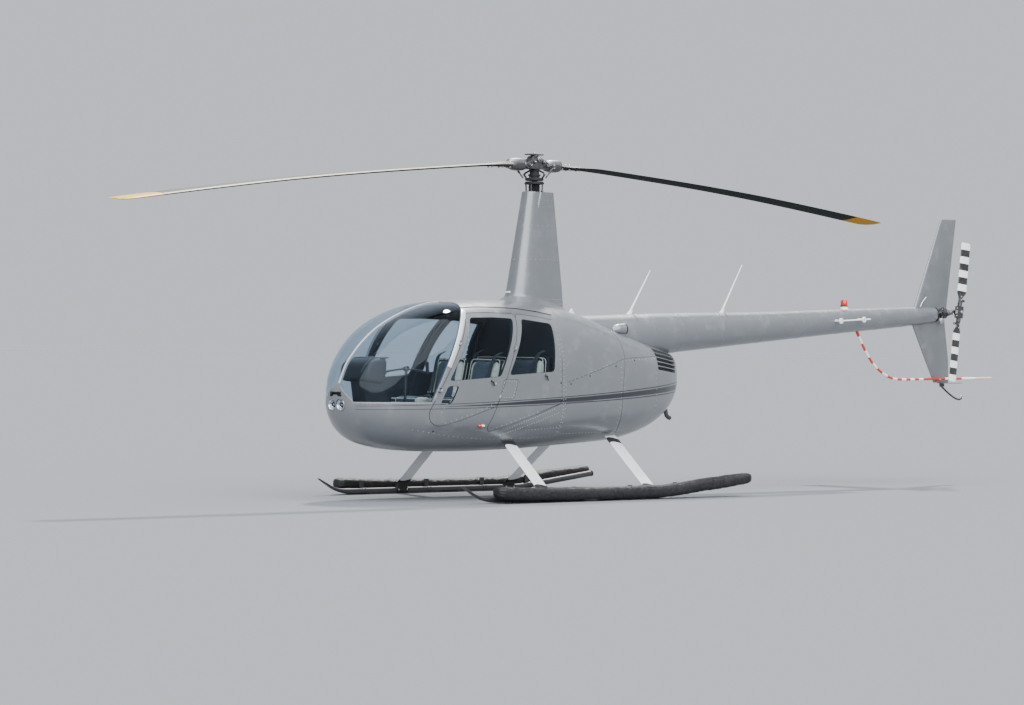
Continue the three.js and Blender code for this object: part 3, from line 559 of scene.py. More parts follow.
paint = {
    "silver": (0.168, 0.180, 0.196),
    "silverPale": (0.192, 0.205, 0.222),
    "stripe": (0.010, 0.011, 0.015),
    "metallic": 0.50,
    "roughness": 0.33,
    "stripeTop": (0.9619, 0.0562, 0.00709),  # height of the top stripe's edge: constant, x and x squared
    "stripeWidth": (0.0691, 0.0155),  # height of all three together: constant and x
    "stripeStart": -2.37,
    "tipFrom": 4.62,  # distance from the rotor's axis at which the painted tip of a main blade begins
    # tip radius, length of a white and a black band, radius of the root
    "tailBands": (0.7366, 0.146, 0.2256),
    "mirror": (0.010, 0.80),  # mirrored share of glass seen straight on, and what slanting adds to it
}


def stripeMask(finish):
    # fraction f down the stripes' height; dark in the thin lines at both ends and in the wide band between
    x, _, z = finish.axes()
    c0, c1, c2 = paint["stripeTop"]
    w0, w1 = paint["stripeWidth"]
    f = (c0 + x * c1 + x * x * c2 - z) / (w0 + x * w1)
    grow = finish.node("Clamp", {}, {"Value": (x + 1.75) / 1.2})
    wide = (f - 0.52).size()
    band = 1 - (wide - grow * 0.28).above(0.0, 0.03)
    lines = f.between(0.0, 0.12, 0.03) + f.between(0.92, 1.04, 0.03)
    return finish.node("Clamp", {}, {"Value": band + lines}) * x.above(paint["stripeStart"], 0.01)


def silverPaint(name, striped=False, pale=0.0):
    # satin metallic paint with a slow drift of tone, fine flake and light dust in patches
    f = Finish(name)
    drift = f.noise(1.7, 3.0, 0.55)
    tone = f.mix(drift, paint["silver"], paint["silverPale"])
    # pale mixes the tone towards white: a painted highlight
    if pale:
        tone = f.mix(pale, tone, (0.75, 0.77, 0.79))
    flake = f.noise(900.0, 1.0)
    dust = f.noise(6.0, 5.0, 0.7).above(0.62, 0.2)
    tone = f.mix(dust * 0.14, tone, (0.30, 0.29, 0.27))
    rough = flake * 0.06 + dust * 0.12 + (paint["roughness"] - 0.04)
    metal = 1 - dust * 0.3
    if striped:
        mask = stripeMask(f)
        tone = f.mix(mask, tone, paint["stripe"])
        metal = metal * (1 - mask)
    peel = f.bump(f.noise(210.0, 2.0), 0.00012)
    return f.surface({
        "Base Color": tone, "Metallic": metal * paint["metallic"], "Roughness": rough,
        "Coat Weight": 0.35, "Coat Roughness": 0.12, "Normal": peel,
    })


def plainPaint(name, colour, second, rough=0.35, coat=0.3, scale=8.0, bump=0.0001):
    # paint whose tone wanders between two colours
    f = Finish(name)
    tone = f.mix(f.noise(scale, 4.0, 0.6).above(0.5, 0.6), colour, second)
    return f.surface({
        "Base Color": tone, "Roughness": f.noise(scale * 5, 3.0) * 0.16 + (rough - 0.08),
        "Coat Weight": coat, "Coat Roughness": 0.15, "Normal": f.bump(f.noise(260.0, 2.0), bump),
    })


def bareMetal(name, colour, rough=0.34, brushed=(1, 1, 40), grime=0.25):
    # metal with fine brush lines and dark grime in patches
    f = Finish(name)
    lines = f.noise(55.0, 3.0, 0.6, brushed)
    dirt = f.noise(19.0, 5.0, 0.7).above(0.58, 0.25)
    tone = f.mix(lines, colour, tuple(c * 0.8 for c in colour))
    tone = f.mix(dirt * grime, tone, (0.05, 0.047, 0.042))
    return f.surface({
        "Base Color": tone, "Metallic": 1 - dirt * 0.4,
        "Roughness": lines * 0.12 + dirt * 0.2 + (rough - 0.06),
        "Normal": f.bump(lines, 0.0001),
    })


def rubber(name, colour=(0.014, 0.014, 0.016), rough=0.62, grain=320.0):
    # dull skin with a fine grain and paler wear in patches
    f = Finish(name)
    wear = f.noise(14.0, 5.0, 0.65).above(0.6, 0.25)
    tone = f.mix(wear * 0.3, colour, (0.06, 0.06, 0.06))
    return f.surface({
        "Base Color": tone, "Roughness": wear * 0.15 + rough, "Specular IOR Level": 0.25,
        "Normal": f.bump(f.noise(grain, 3.0), 0.0002),
    })


def weave(name, colour, second, pitch=0.0016, depth=0.0004, sheen=0.15):
    # woven cloth: two sets of ridges, each hidden where the other crosses over it
    f = Finish(name)
    x, y, z = f.axes()
    a = ((x + z * 0.4) * (2 * math.pi / pitch)).math("SINE")
    b = ((y + z * 0.6) * (2 * math.pi / pitch)).math("SINE")
    cross = a * b
    tone = f.mix(f.noise(11.0, 4.0, 0.6), colour, second)
    tone = f.mix(cross.above(0.0, 1.6) * 0.35, tone, tuple(c * 1.7 for c in colour))
    return f.surface({
        "Base Color": tone, "Roughness": 0.88, "Sheen Weight": sheen, "Sheen Roughness": 0.4,
        "Normal": f.bump(cross + f.noise(900.0, 2.0), depth),
    })


def leather(name, colour, second):
    # small round cells with creases between them
    f = Finish(name)
    cells = f.node("TexVoronoi", {"feature": "DISTANCE_TO_EDGE"}, {"Vector": f.place(), "Scale": 420.0})
    tone = f.mix(f.noise(9.0, 4.0, 0.6), colour, second)
    return f.surface({
        "Base Color": tone, "Roughness": f.noise(60.0, 2.0) * 0.15 + 0.42,
        "Normal": f.bump(cells.above(0.08, 0.16), 0.0003),
    })


def glassFinish(name, tint):
    # tinted clear sheet: the mirrored share is its base plus the rest times the fifth power of the slant
    f = Finish(name)
    clear = f.node("BsdfTransparent", {}, {"Color": tint})
    gloss = f.node("BsdfGlossy", {}, {"Color": (0.86, 0.92, 1.0), "Roughness": 0.02})
    slant = f.node("LayerWeight", {}, {"Blend": 0.5}, out="Facing")
    base, rest = paint["mirror"]
    edge = slant ** 5 * rest + base
    f.node("OutputMaterial", {}, {"Surface": f.node("MixShader", {}, {0: edge, 1: clear, 2: gloss})})
    return f.material


def clothBlack(name):
    # coated fabric of the folded floats: soft wrinkles across, finer creases and pale scuffs in patches
    f = Finish(name)
    folds = f.noise(5.0, 5.0, 0.62, (1, 2.2, 2.2))
    creases = f.noise(24.0, 4.0, 0.7, (1, 2, 2))
    scuff = f.noise(40.0, 5.0, 0.7).above(0.6, 0.2)
    tone = f.mix(scuff * 0.3, (0.007, 0.007, 0.009), (0.040, 0.040, 0.043))
    height = folds * 0.8 + creases * 0.35
    return f.surface({
        "Base Color": tone, "Roughness": scuff * 0.2 + creases * 0.15 + 0.36, "Specular IOR Level": 0.35,
        "Normal": f.bump(height, 0.022),
    })


def guardBands(name, first, second):
    # bands along the attribute "along": the first colour from each even number to the next odd one
    f = Finish(name)
    along = f.node("Attribute", {"attribute_name": "along"}, out="Fac")
    tone = f.mix((along / 2).part().between(0.0, 0.5, 0.01), second, first)
    tone = f.mix(f.noise(30.0, 4.0, 0.6).above(0.62, 0.2) * 0.2, tone, (0.2, 0.17, 0.15))
    return f.surface({"Base Color": tone, "Roughness": 0.36, "Coat Weight": 0.3,
                      "Normal": f.bump(f.noise(200.0), 0.0001)})


def bladePaint(name, colour, second, tip, rough, shine):
    # blade paint up to the painted tip; the attribute "along" is the distance from the rotor's axis
    f = Finish(name)
    along = f.node("Attribute", {"attribute_name": "along"}, out="Fac")
    wear = f.noise(9.0, 5.0, 0.7, (0.3, 4, 1))
    tone = f.mix(along.above(paint["tipFrom"], 0.004), f.mix(wear, colour, second), tip)
    tone = f.mix(f.noise(60.0, 4.0, 0.7).above(0.66, 0.15) * 0.2, tone, (0.2, 0.19, 0.17))
    return f.surface({"Base Color": tone, "Roughness": wear * 0.1 + rough, "Specular IOR Level": shine,
                      "Normal": f.bump(f.noise(180.0), 0.0001)})


def tailBands(name):
    # seven bands in from the tip, white first, and a black root
    f = Finish(name)
    along = f.node("Attribute", {"attribute_name": "along"}, out="Fac")
    tip, pair, root = paint["tailBands"]
    white = ((tip - along) / pair).part().between(0.0, 0.5, 0.01) * along.above(root, 0.001)
    tone = f.mix(white, (0.012, 0.012, 0.014), (0.82, 0.82, 0.80))
    tone = f.mix(f.noise(40.0, 4.0, 0.6).above(0.6, 0.2) * 0.12, tone, (0.3, 0.28, 0.25))
    return f.surface({"Base Color": tone, "Roughness": 0.34, "Coat Weight": 0.25,
                      "Normal": f.bump(f.noise(200.0), 0.0001)})


def makeFinishes():
    # all materials under the short names that makePiece takes
    finishes = {
        "silver": silverPaint("silverPaint", striped=True),
        "silverPlain": silverPaint("silverPlain"),
        # a paler copy of the silver paint: painted highlight on the windshield's centre strip and the upper
        # post strips
        "bow": silverPaint("silverBright", pale=0.75),
        "lining": rubber("cabinLining", (0.020, 0.023, 0.029), 0.7, 240.0),
        "carpet": weave("cabinCarpet", (0.028, 0.029, 0.032), (0.045, 0.045, 0.047), 0.004, 0.0012),
        "seal": rubber("blackSeal"),
        "plastic": rubber("darkPlastic", (0.022, 0.023, 0.027), 0.5, 500.0),
        "black": plainPaint("blackPaint", (0.016, 0.016, 0.018), (0.03, 0.03, 0.032), 0.42),
        "white": plainPaint("whitePaint", (0.80, 0.81, 0.80), (0.70, 0.70, 0.68), 0.36),
        "glass": glassFinish("tintedGlass", (0.78, 0.84, 0.885)),
        "steel": bareMetal("machinedSteel", (0.42, 0.43, 0.45)),
        "alloy": bareMetal("castAlloy", (0.62, 0.63, 0.65), 0.4),
        "darkMetal": bareMetal("darkMetal", (0.10, 0.10, 0.11), 0.42),
        "float": clothBlack("coatedFabric"),
        "seat": weave("seatCloth", (0.045, 0.055, 0.068), (0.07, 0.082, 0.098)),
        "cream": leather("creamLeather", (0.66, 0.62, 0.50), (0.56, 0.52, 0.41)),
        "legPaint": plainPaint("legPaint", (0.62, 0.64, 0.66), (0.55, 0.57, 0.59), 0.3),
        "chrome": bareMetal("chromedRim", (0.78, 0.79, 0.80), 0.12, grime=0.1),
        "bulb": plainPaint("frostedBulb", (0.85, 0.86, 0.86), (0.8, 0.8, 0.8), 0.25),
        "lens": glassFinish("lampGlass", (0.80, 0.84, 0.88)),
        "redLens": plainPaint("redLens", (0.52, 0.014, 0.010), (0.45, 0.010, 0.008), 0.12, 0.6),
        "greenLens": plainPaint("greenLens", (0.01, 0.30, 0.09), (0.01, 0.24, 0.07), 0.12, 0.6),
        "webbing": weave("beltWebbing", (0.020, 0.021, 0.024), (0.03, 0.031, 0.034), 0.0022, 0.0003),
        "piping": weave("seatPiping", (0.030, 0.036, 0.046), (0.04, 0.047, 0.058), 0.0012, 0.0002),
        "screen": plainPaint("smallScreens", (0.008, 0.016, 0.020), (0.010, 0.022, 0.028), 0.12, 0.5),
        "hubPlate": bareMetal("hubPlates", (0.13, 0.13, 0.14), 0.4, grime=0.5),
        "castPale": bareMetal("paleCasting", (0.36, 0.37, 0.38), 0.36, grime=0.4),
        "red": plainPaint("redPaint", (0.50, 0.025, 0.018), (0.42, 0.02, 0.015)),
        "guardBands": guardBands("guardBands", (0.42, 0.025, 0.012), (0.80, 0.80, 0.78)),
        "tailBands": tailBands("tailBladeBands"),
    }
    # one blade paint as a lit copy on the upper skin, a shaded copy with a darker tip underneath, and a painted
    # highlight along the upper leading edge
    blades = {  # two tones, the tip's colour, roughness and shine
        "bladeTop": ((0.075, 0.075, 0.070), (0.060, 0.060, 0.056), (0.62, 0.36, 0.06), 0.45, 0.3),
        "bladeUnder": ((0.022, 0.026, 0.024), (0.032, 0.036, 0.033), (0.50, 0.24, 0.03), 0.75, 0.03),
        "bladeEdge": ((0.40, 0.38, 0.30), (0.33, 0.31, 0.25), (0.60, 0.44, 0.16), 0.4, 0.3),
    }
    for name, looks in blades.items():
        finishes[name] = bladePaint(name, *looks)
    return finishes


finishes = makeFinishes()
print("finishes made:", len(finishes))


# hull surface
hull = {
    "turn": 0.6,  # metres of the flat panel plane for each radian round a section
    "step": 0.024,  # of the net on the panels
    "wall": 0.026,
    "rows": [  # x, keel, roof, half width, height of the widest point, power below it and above it
        (-2.4403, 0.94999, 0.95001, 0.00001, 0.950, 2.2, 2.6),
        (-2.440, 0.925, 0.967, 0.008, 0.950, 2.2, 2.6),
        (-2.425, 0.848, 1.024, 0.097, 0.943, 2.2, 2.6),
        (-2.390, 0.748, 1.085, 0.182, 0.935, 2.25, 2.7),
        (-2.320, 0.658, 1.234, 0.278, 0.935, 2.3, 2.85),
        (-2.230, 0.580, 1.349, 0.357, 0.942, 2.4, 3.0),
        (-2.100, 0.520, 1.474, 0.437, 0.955, 2.5, 3.2),
        (-1.950, 0.485, 1.582, 0.500, 0.970, 2.6, 3.4),
        (-1.780, 0.460, 1.669, 0.552, 0.990, 2.75, 3.6),
        (-1.580, 0.446, 1.748, 0.598, 1.010, 2.9, 3.6),
        (-1.350, 0.440, 1.808, 0.628, 1.030, 3.0, 3.3),
        (-1.100, 0.438, 1.833, 0.642, 1.040, 3.1, 3.0),
        (-0.800, 0.443, 1.845, 0.645, 1.045, 3.2, 2.8),
        (-0.450, 0.452, 1.845, 0.640, 1.050, 3.2, 2.6),
        (-0.150, 0.465, 1.828, 0.630, 1.050, 3.1, 2.6),
        (0.150, 0.480, 1.785, 0.612, 1.045, 3.0, 2.6),
        (0.450, 0.495, 1.720, 0.585, 1.030, 2.9, 2.6),
        (0.750, 0.512, 1.625, 0.545, 1.010, 2.8, 2.6),
        (1.000, 0.545, 1.548, 0.497, 1.000, 2.7, 2.6),
        (1.250, 0.602, 1.490, 0.430, 1.000, 2.6, 2.6),
        (1.450, 0.673, 1.440, 0.358, 1.010, 2.5, 2.6),
        (1.620, 0.762, 1.402, 0.275, 1.035, 2.4, 2.6),
        (1.740, 0.850, 1.374, 0.200, 1.070, 2.3, 2.6),
        (1.820, 0.938, 1.340, 0.132, 1.105, 2.2, 2.6),
        (1.868, 1.035, 1.282, 0.072, 1.145, 2.2, 2.6),
        (1.892, 1.120, 1.215, 0.020, 1.165, 2.2, 2.6),
        (1.8925, 1.16499, 1.16501, 0.00001, 1.165, 2.2, 2.6),
    ],
}
hullRows = np.array(hull["rows"])
hullKnots = np.concatenate([[0], np.cumsum(np.linalg.norm(np.diff(hullRows[:, :4], axis=0), axis=1))])
hullEnd = hullKnots[-1]
hullDense = np.linspace(0, hullEnd, 3000)
hullDenseX = smoothCurve(hullKnots, hullRows[:, 0], hullDense)


def hullColumns(a):
    # the table's columns at the length a along it
    return [smoothCurve(hullKnots, hullRows[:, k], a) for k in range(7)]


def hullAt(x):
    # the length along the table at which the section stands at x
    return np.interp(x, hullDenseX, hullDense)


def hullPoint(a, turn):
    # a section is the superellipse |y / half|^p + |rise / reach|^p = 1 about its widest height;
    # turn 0 is port and a quarter turn is the top
    x, keel, roof, half, widest, lower, upper = hullColumns(a)
    c, s = np.cos(turn), np.sin(turn)
    power = np.where(s > 0, upper, lower)
    reach = np.where(s > 0, roof - widest, widest - keel)
    size = (np.abs(c) ** power + np.abs(s) ** power) ** (-1 / power)
    return np.stack([x + mastX, -half * size * c, widest + reach * size * s], -1)


def hullNormal(a, turn):
    # along the hull crossed with round it, straight fore or aft at the closed ends
    d = 1e-4
    within = np.clip(a, 0.003, hullEnd - 0.003)
    along = hullPoint(within + d, turn) - hullPoint(within - d, turn)
    around = hullPoint(within, turn + d) - hullPoint(within, turn - d)
    normal = unit(np.cross(along, around))
    tip = (a < 0.002) | (a > hullEnd - 0.002)
    normal[tip] = np.stack([np.sign(a[tip] - 1), 0 * a[tip], 0 * a[tip]], -1)
    return normal


def hullSkin(flat, depth=0.0):
    # points of the panel plane on the hull, moved inwards by depth
    a, turn = flat[:, 0], flat[:, 1] / hull["turn"]
    return hullPoint(a, turn) - hullNormal(a, turn) * np.reshape(depth, (-1, 1))


def hullTurn(a, z):
    # the angle at which the section at a has the height z, on the port side
    _, keel, roof, _, widest, lower, upper = hullColumns(a)
    power = np.where(z > widest, upper, lower)
    reach = np.where(z > widest, roof - widest, widest - keel)
    rise = np.clip((z - widest) / reach, -1, 1)
    return np.arctan2(rise, (1 - np.abs(rise) ** power) ** (1 / power))


def hullFlat(side):
    # side-view points (x, z) on the panel plane
    side = np.asarray(side, float)
    a = hullAt(side[:, 0])
    return np.stack([a, hullTurn(a, side[:, 1]) * hull["turn"]], -1)


def hullSide(flat):
    # side-view points (x, z) of points of the panel plane
    point = hullPoint(flat[:, 0], flat[:, 1] / hull["turn"])
    return point[:, [0, 2]] - (mastX, 0)


def widthLine(x, y):
    # where the upper hull is y off the centre line, at those x
    a = hullAt(x)
    columns = hullColumns(a)
    share = np.clip(y / columns[3], 0, 1)
    rise = (1 - share ** columns[6]) ** (1 / columns[6])
    return np.stack([a, np.arctan2(rise, share) * hull["turn"]], -1)


def cutPanel(lines, keep, step, spread=None):
    # a net of triangles over the panel plane: even points and the given lines in one Delaunay net,
    # of which the triangles stay whose middles keep() picks
    points, edges = [], []
    for line, closed in lines:
        start = sum(len(p) for p in points)
        index = np.arange(len(line))
        pairs = np.stack([index, np.roll(index, -1)], -1) + start
        edges += (pairs if closed else pairs[:-1]).tolist()
        points.append(line)
    drawn = np.vstack(points)
    low, high = spread if spread is not None else (drawn.min(0), drawn.max(0))
    rise = step * math.sqrt(0.75)
    across, up = np.meshgrid(np.arange(low[0], high[0], step), np.arange(low[1], high[1], rise))
    across = across + (np.arange(len(across)) % 2)[:, None] * step / 2
    field = np.stack([across.ravel(), up.ravel()], -1)
    field = field[(field[:, 0] < high[0] - 0.3 * step) & (field[:, 1] < high[1] - 0.3 * step)]
    field = field[(field[:, 0] > low[0] + 0.3 * step) & (field[:, 1] > low[1] + 0.3 * step)]
    clear = np.concatenate([
        np.min(np.sum((part[:, None] - drawn[None]) ** 2, -1), 1) > (0.55 * step) ** 2
        for part in np.array_split(field, max(len(field) // 1000, 1))
    ])
    everything = np.vstack([drawn, field[clear]])
    made = delaunay_2d_cdt([Vector(p) for p in everything], edges, [], 0, 1e-7, False)
    net = np.array([tuple(v) for v in made[0]])
    triangles = np.array([f for f in made[2] if len(f) == 3])
    corners = net[triangles]
    first, second = corners[:, 1] - corners[:, 0], corners[:, 2] - corners[:, 0]
    area = first[:, 0] * second[:, 1] - first[:, 1] * second[:, 0]
    triangles = np.where(area[:, None] < 0, triangles[:, ::-1], triangles)[np.abs(area) > 1e-9]
    return net, triangles[keep(net[triangles].mean(1))]


def panelShell(net, triangles, outer, inner, wallFinish=0, innerFinish=1):
    # an outer and an inner skin of one net, with walls along its open rims but not on the centre line
    used, index = np.unique(triangles, return_inverse=True)
    net, triangles = net[used], index.reshape(-1, 3)
    top, low = hullSkin(net, outer), hullSkin(net, inner)
    edges = np.vstack([triangles[:, [0, 1]], triangles[:, [1, 2]], triangles[:, [2, 0]]])
    key = np.sort(edges, 1) @ (1, 1 << 20)
    _, where, times = np.unique(key, return_index=True, return_counts=True)
    rim = edges[where[times == 1]]
    middle = np.abs(np.abs(net[:, 1]) - np.pi / 2 * hull["turn"]) < 1e-6
    tips = (net[:, 0] < 1e-6) | (net[:, 0] > hullEnd - 1e-6)
    rim = rim[~(middle[rim].all(1) | tips[rim].all(1))]
    n = len(net)
    walls = np.stack([rim[:, 1], rim[:, 0], rim[:, 0] + n, rim[:, 1] + n], -1)
    return np.vstack([top, low]), [
        (triangles, 0), (walls, wallFinish), (triangles[:, ::-1] + n, innerFinish),
    ]


def hullPath(line, depth, closed):
    # a line of the panel plane in space, with the directions across it in the skin and out of the skin
    path, normal = hullSkin(line, depth), hullNormal(line[:, 0], line[:, 1] / hull["turn"])
    ahead = np.roll(path, -1, 0) - np.roll(path, 1, 0) if closed else np.gradient(path, axis=0)
    return path, unit(np.cross(unit(ahead), normal)), normal


def hullTube(line, depth, radius, closed=True, sides=8):
    # a round cord along a line of the panel plane
    path, side, normal = hullPath(line, depth, closed)
    a, b = ringPath(sides)
    return sweepShape(path, side, normal, a * radius, b * radius, "loop" if closed else "caps")


def hullStrip(line, width, height, closed=False, sink=0.002):
    # a flat band with round shoulders along a line of the panel plane
    path, side, normal = hullPath(line, 0.0, closed)
    across = np.array([-0.5, -0.5, -0.44, -0.25, 0.25, 0.44, 0.5, 0.5]) * width
    rise = np.array([-sink, height * 0.4, height * 0.85, height, height, height * 0.85, height * 0.4, -sink])
    return sweepShape(path, side, normal, across, rise, "loop" if closed else "caps")


outside = {
    "lamp": {"y": 0.058, "z": 0.876, "radius": 0.051, "depth": 0.046},
    "scoop": {"x": (0.860, 1.035), "turn": 0.37, "high": 0.042, "wide": 0.106},
    "blade": {"x": 0.434, "chord": 0.132, "z": (1.690, 1.780), "sweep": 0.062, "tip": 0.020},
    "beacon": {
        "x": 4.400,
        "foot": [(0, 0.048), (0.004, 0.047), (0.022, 0.039), (0.030, 0.038)],  # rise and radius
        "seal": [(0, 0.036), (0.002, 0.039), (0.012, 0.039), (0.014, 0.035)],
        "dome": [
            (0, 0.035), (0.008, 0.036), (0.036, 0.0355), (0.050, 0.033), (0.058, 0.027), (0.061, 0.014),
            (0.0615, 0.002),
        ],
        "heights": (1.818, 1.848, 1.8605),
    },
    "rail": ((4.110, -0.190, 1.699), (4.600, -0.186, 1.722)),
    "stands": ((4.132, 1.700), (4.484, 1.716)),
    "stand": [  # distance out to port and radius
        (0, 0.024), (0.004, 0.020), (0.020, 0.013), (0.092, 0.012), (0.108, 0.020), (0.118, 0.029),
        (0.130, 0.030), (0.134, 0.025),
    ],
    "whips": {"front": ((1.280, 1.741), (1.570, 2.170)), "rear": ((2.570, 1.762), (2.870, 2.250))},
}
outlines = {
    "frontDoor": [
        (-1.300, 1.720), (-1.020, 1.728), (-0.658, 1.722), (-1.000, 0.943), (-1.037, 0.862),
        (-1.232, 0.806), (-1.415, 0.745), (-1.618, 0.689), (-1.688, 0.685), (-1.757, 0.723), (-1.792, 0.806),
    ],
    "rearDoor": [
        (-0.664, 1.722), (-0.400, 1.700), (-0.167, 1.662), (-0.205, 1.250), (-0.212, 1.000),
        (-0.205, 0.889), (-0.508, 0.790), (-0.888, 0.678), (-1.080, 0.625), (-1.125, 0.665), (-1.006, 0.943),
    ],
    "frontWindow": [(-1.266, 1.677), (-0.975, 1.683), (-0.728, 1.673), (-0.996, 1.137), (-1.586, 1.097)],
    "rearWindow": [(-0.612, 1.672), (-0.245, 1.630), (-0.312, 1.183), (-0.890, 1.152)],
    "lowWindow": [(-1.598, 1.053), (-1.478, 1.053), (-1.560, 0.890), (-1.680, 0.881)],
    "windshieldRear": [
        (-1.763, 0.905), (-1.608, 1.240), (-1.502, 1.463), (-1.425, 1.600),
        (-1.348, 1.697), (-1.285, 1.754), (-1.225, 1.805),
    ],
    "seamAft": [(-0.2, 1.083), (0.722, 1.304), (1.343, 1.326), (1.8925, 1.333)],
}
panels = {
    "step": 0.012,  # between points along cut lines
    "corner": 0.05,
    "windowCorner": 0.035,
    "doorGap": 0.005,
    "doorSkin": 0.009,
    "panInset": 0.0275,
    "waist": 0.905,
    "bulkhead": -0.2,
    "cowlSplit": 0.7,
    "bow": 0.011,
    "roofEnd": (-1.206, 1.8246),  # of the windshield on the centre line
    "peak": (1.078, 0.2 / 0.190),  # height of the nose panel's tip, and its half width for each metre below
    "glass": (0.002, 0.008),
    "ventHeights": (0.954, 0.992),
    "ventHalves": (0.083, 0.055),  # half widths at those heights
    "grille": {"fore": [(1.325, 1.412), (1.290, 1.196)], "aft": [(1.790, 1.352), (1.712, 1.160)]},
    "postStrip": [(-0.665, 1.79), (-0.600, 1.79), (-1.119, 0.6126), (-1.184, 0.6126)],
    "slots": 5,
    "open": 0.80,
}


def outlineFlat(name, radius, inset=0.0):
    # a named outline with round corners on the panel plane, drawn in by the inset
    loop = softOutline(outlines[name], radius, panels["step"])
    return hullFlat(shrunk(loop, inset) if inset else loop)


def hullLine(line, pitch=panels["step"]):
    # a side-view line on the panel plane, with points at equal distances near the pitch
    return hullFlat(evenly(line, pitch))


def frontFlat(y, z):
    # the place on the panel plane at which the nose stands y off the centre line at the height z
    a = hullDense[:900]
    turn = hullTurn(a, np.full(len(a), z))
    off = -hullPoint(a, turn)[:, 1]
    first = np.searchsorted(off > 1e-5, True)
    at = np.interp(y, off[first - 1:], a[first - 1:])
    return at, np.pi / 2 * hull["turn"] if y < 1e-6 else hullTurn(np.array([at]), z)[0] * hull["turn"]


def frontPoint(y, z):
    # the point in space of frontFlat
    return hullSkin(np.array([frontFlat(y, z)]))[0]


def noseLine():
    # from the nose panel's tip on the centre line to the waist, where the hull is as wide as the panel
    tip, slope = panels["peak"]
    return np.array([frontFlat((tip - z) * slope, z) for z in np.linspace(tip, panels["waist"], 18)])


def noseHoles():
    # round lamp hole and the port half of the vent above it
    lamp, (z0, z1), (y0, y1) = outside["lamp"], panels["ventHeights"], panels["ventHalves"]
    turn = evenTurns(40)
    r = lamp["radius"] + 0.002
    ring = np.array([frontFlat(lamp["y"] + r * math.cos(t), lamp["z"] + r * math.sin(t)) for t in turn])
    edge = [(0, z1), (y1 * 0.5, z1), (y1, z1), ((y0 + y1) / 2, (z0 + z1) / 2), (y0, z0), (y0 / 2, z0),
            (0, z0)]
    return ring, np.array([frontFlat(y, z) for y, z in edge])


def grilleSlots():
    # slots between the fore and aft edges of the grille, each as high as the open share of its part
    fore, aft = (np.array(panels["grille"][k]) for k in ("fore", "aft"))
    count, shut = panels["slots"], (1 - panels["open"]) / 2
    slots = []
    for k in range(count):
        f0, f1 = (k + shut) / count, (k + 1 - shut) / count
        corners = [fore[0] + (fore[1] - fore[0]) * f0, aft[0] + (aft[1] - aft[0]) * f0,
                   aft[0] + (aft[1] - aft[0]) * f1, fore[0] + (fore[1] - fore[0]) * f1]
        slots.append(hullFlat(softOutline(corners, 0.008, panels["step"])))
    return slots


def windshieldLoop():
    # nose panel's edge, along the waist, up the rear edge to the roof, and forward along the centre line
    nose = noseLine()
    corner = hullSide(nose[-1:])[0]
    waist = hullLine([(corner[0], panels["waist"]), outlines["windshieldRear"][0]])
    rear = outlines["windshieldRear"] + [panels["roofEnd"]]
    rear = hullLine(smoothPath(rear, 60))
    rear[-1, 1] = np.pi / 2 * hull["turn"]
    top = stacked(np.arange(rear[-1, 0], nose[0, 0], -panels["step"]), np.pi / 2 * hull["turn"])
    return nose, waist, rear, top[1:]


lampHole, ventHole = noseHoles()
slotHoles = grilleSlots()
nose, waistFront, rearEdge, topEdge = windshieldLoop()
screenLoop = np.vstack([nose, waistFront[1:], rearEdge[1:], topEdge])
doorLoops = {k: outlineFlat(k, panels["corner"]) for k in ("frontDoor", "rearDoor")}
skinLoops = {k: outlineFlat(k, panels["corner"], panels["doorGap"]) for k in ("frontDoor", "rearDoor")}
panLoops = {k: outlineFlat(k, panels["corner"], panels["panInset"]) for k in ("frontDoor", "rearDoor")}
windowLoops = {k: outlineFlat(k, panels["windowCorner"]) for k in ("frontWindow", "rearWindow", "lowWindow")}


def borderLines():
    # the rim of the whole port half on the panel plane
    edge = np.pi / 2 * hull["turn"]
    a = np.linspace(0, hullEnd, int(hullEnd / panels["step"]))
    t = np.linspace(-edge, edge, 80)
    return [
        (np.stack([a, np.full(len(a), edge)], -1), False),
        (np.stack([a, np.full(len(a), -edge)], -1), False),
        (np.stack([np.zeros(80), t], -1), False),
        (np.stack([np.full(80, hullEnd), t], -1), False),
    ]


def upright(x, low, high):
    # a line round the hull at one x between two heights
    a = hullAt(x)
    t = hullTurn(np.array([a, a]), np.array([low, high])) * hull["turn"]
    return np.stack([np.full(60, a), np.linspace(t[0], t[1], 60)], -1)


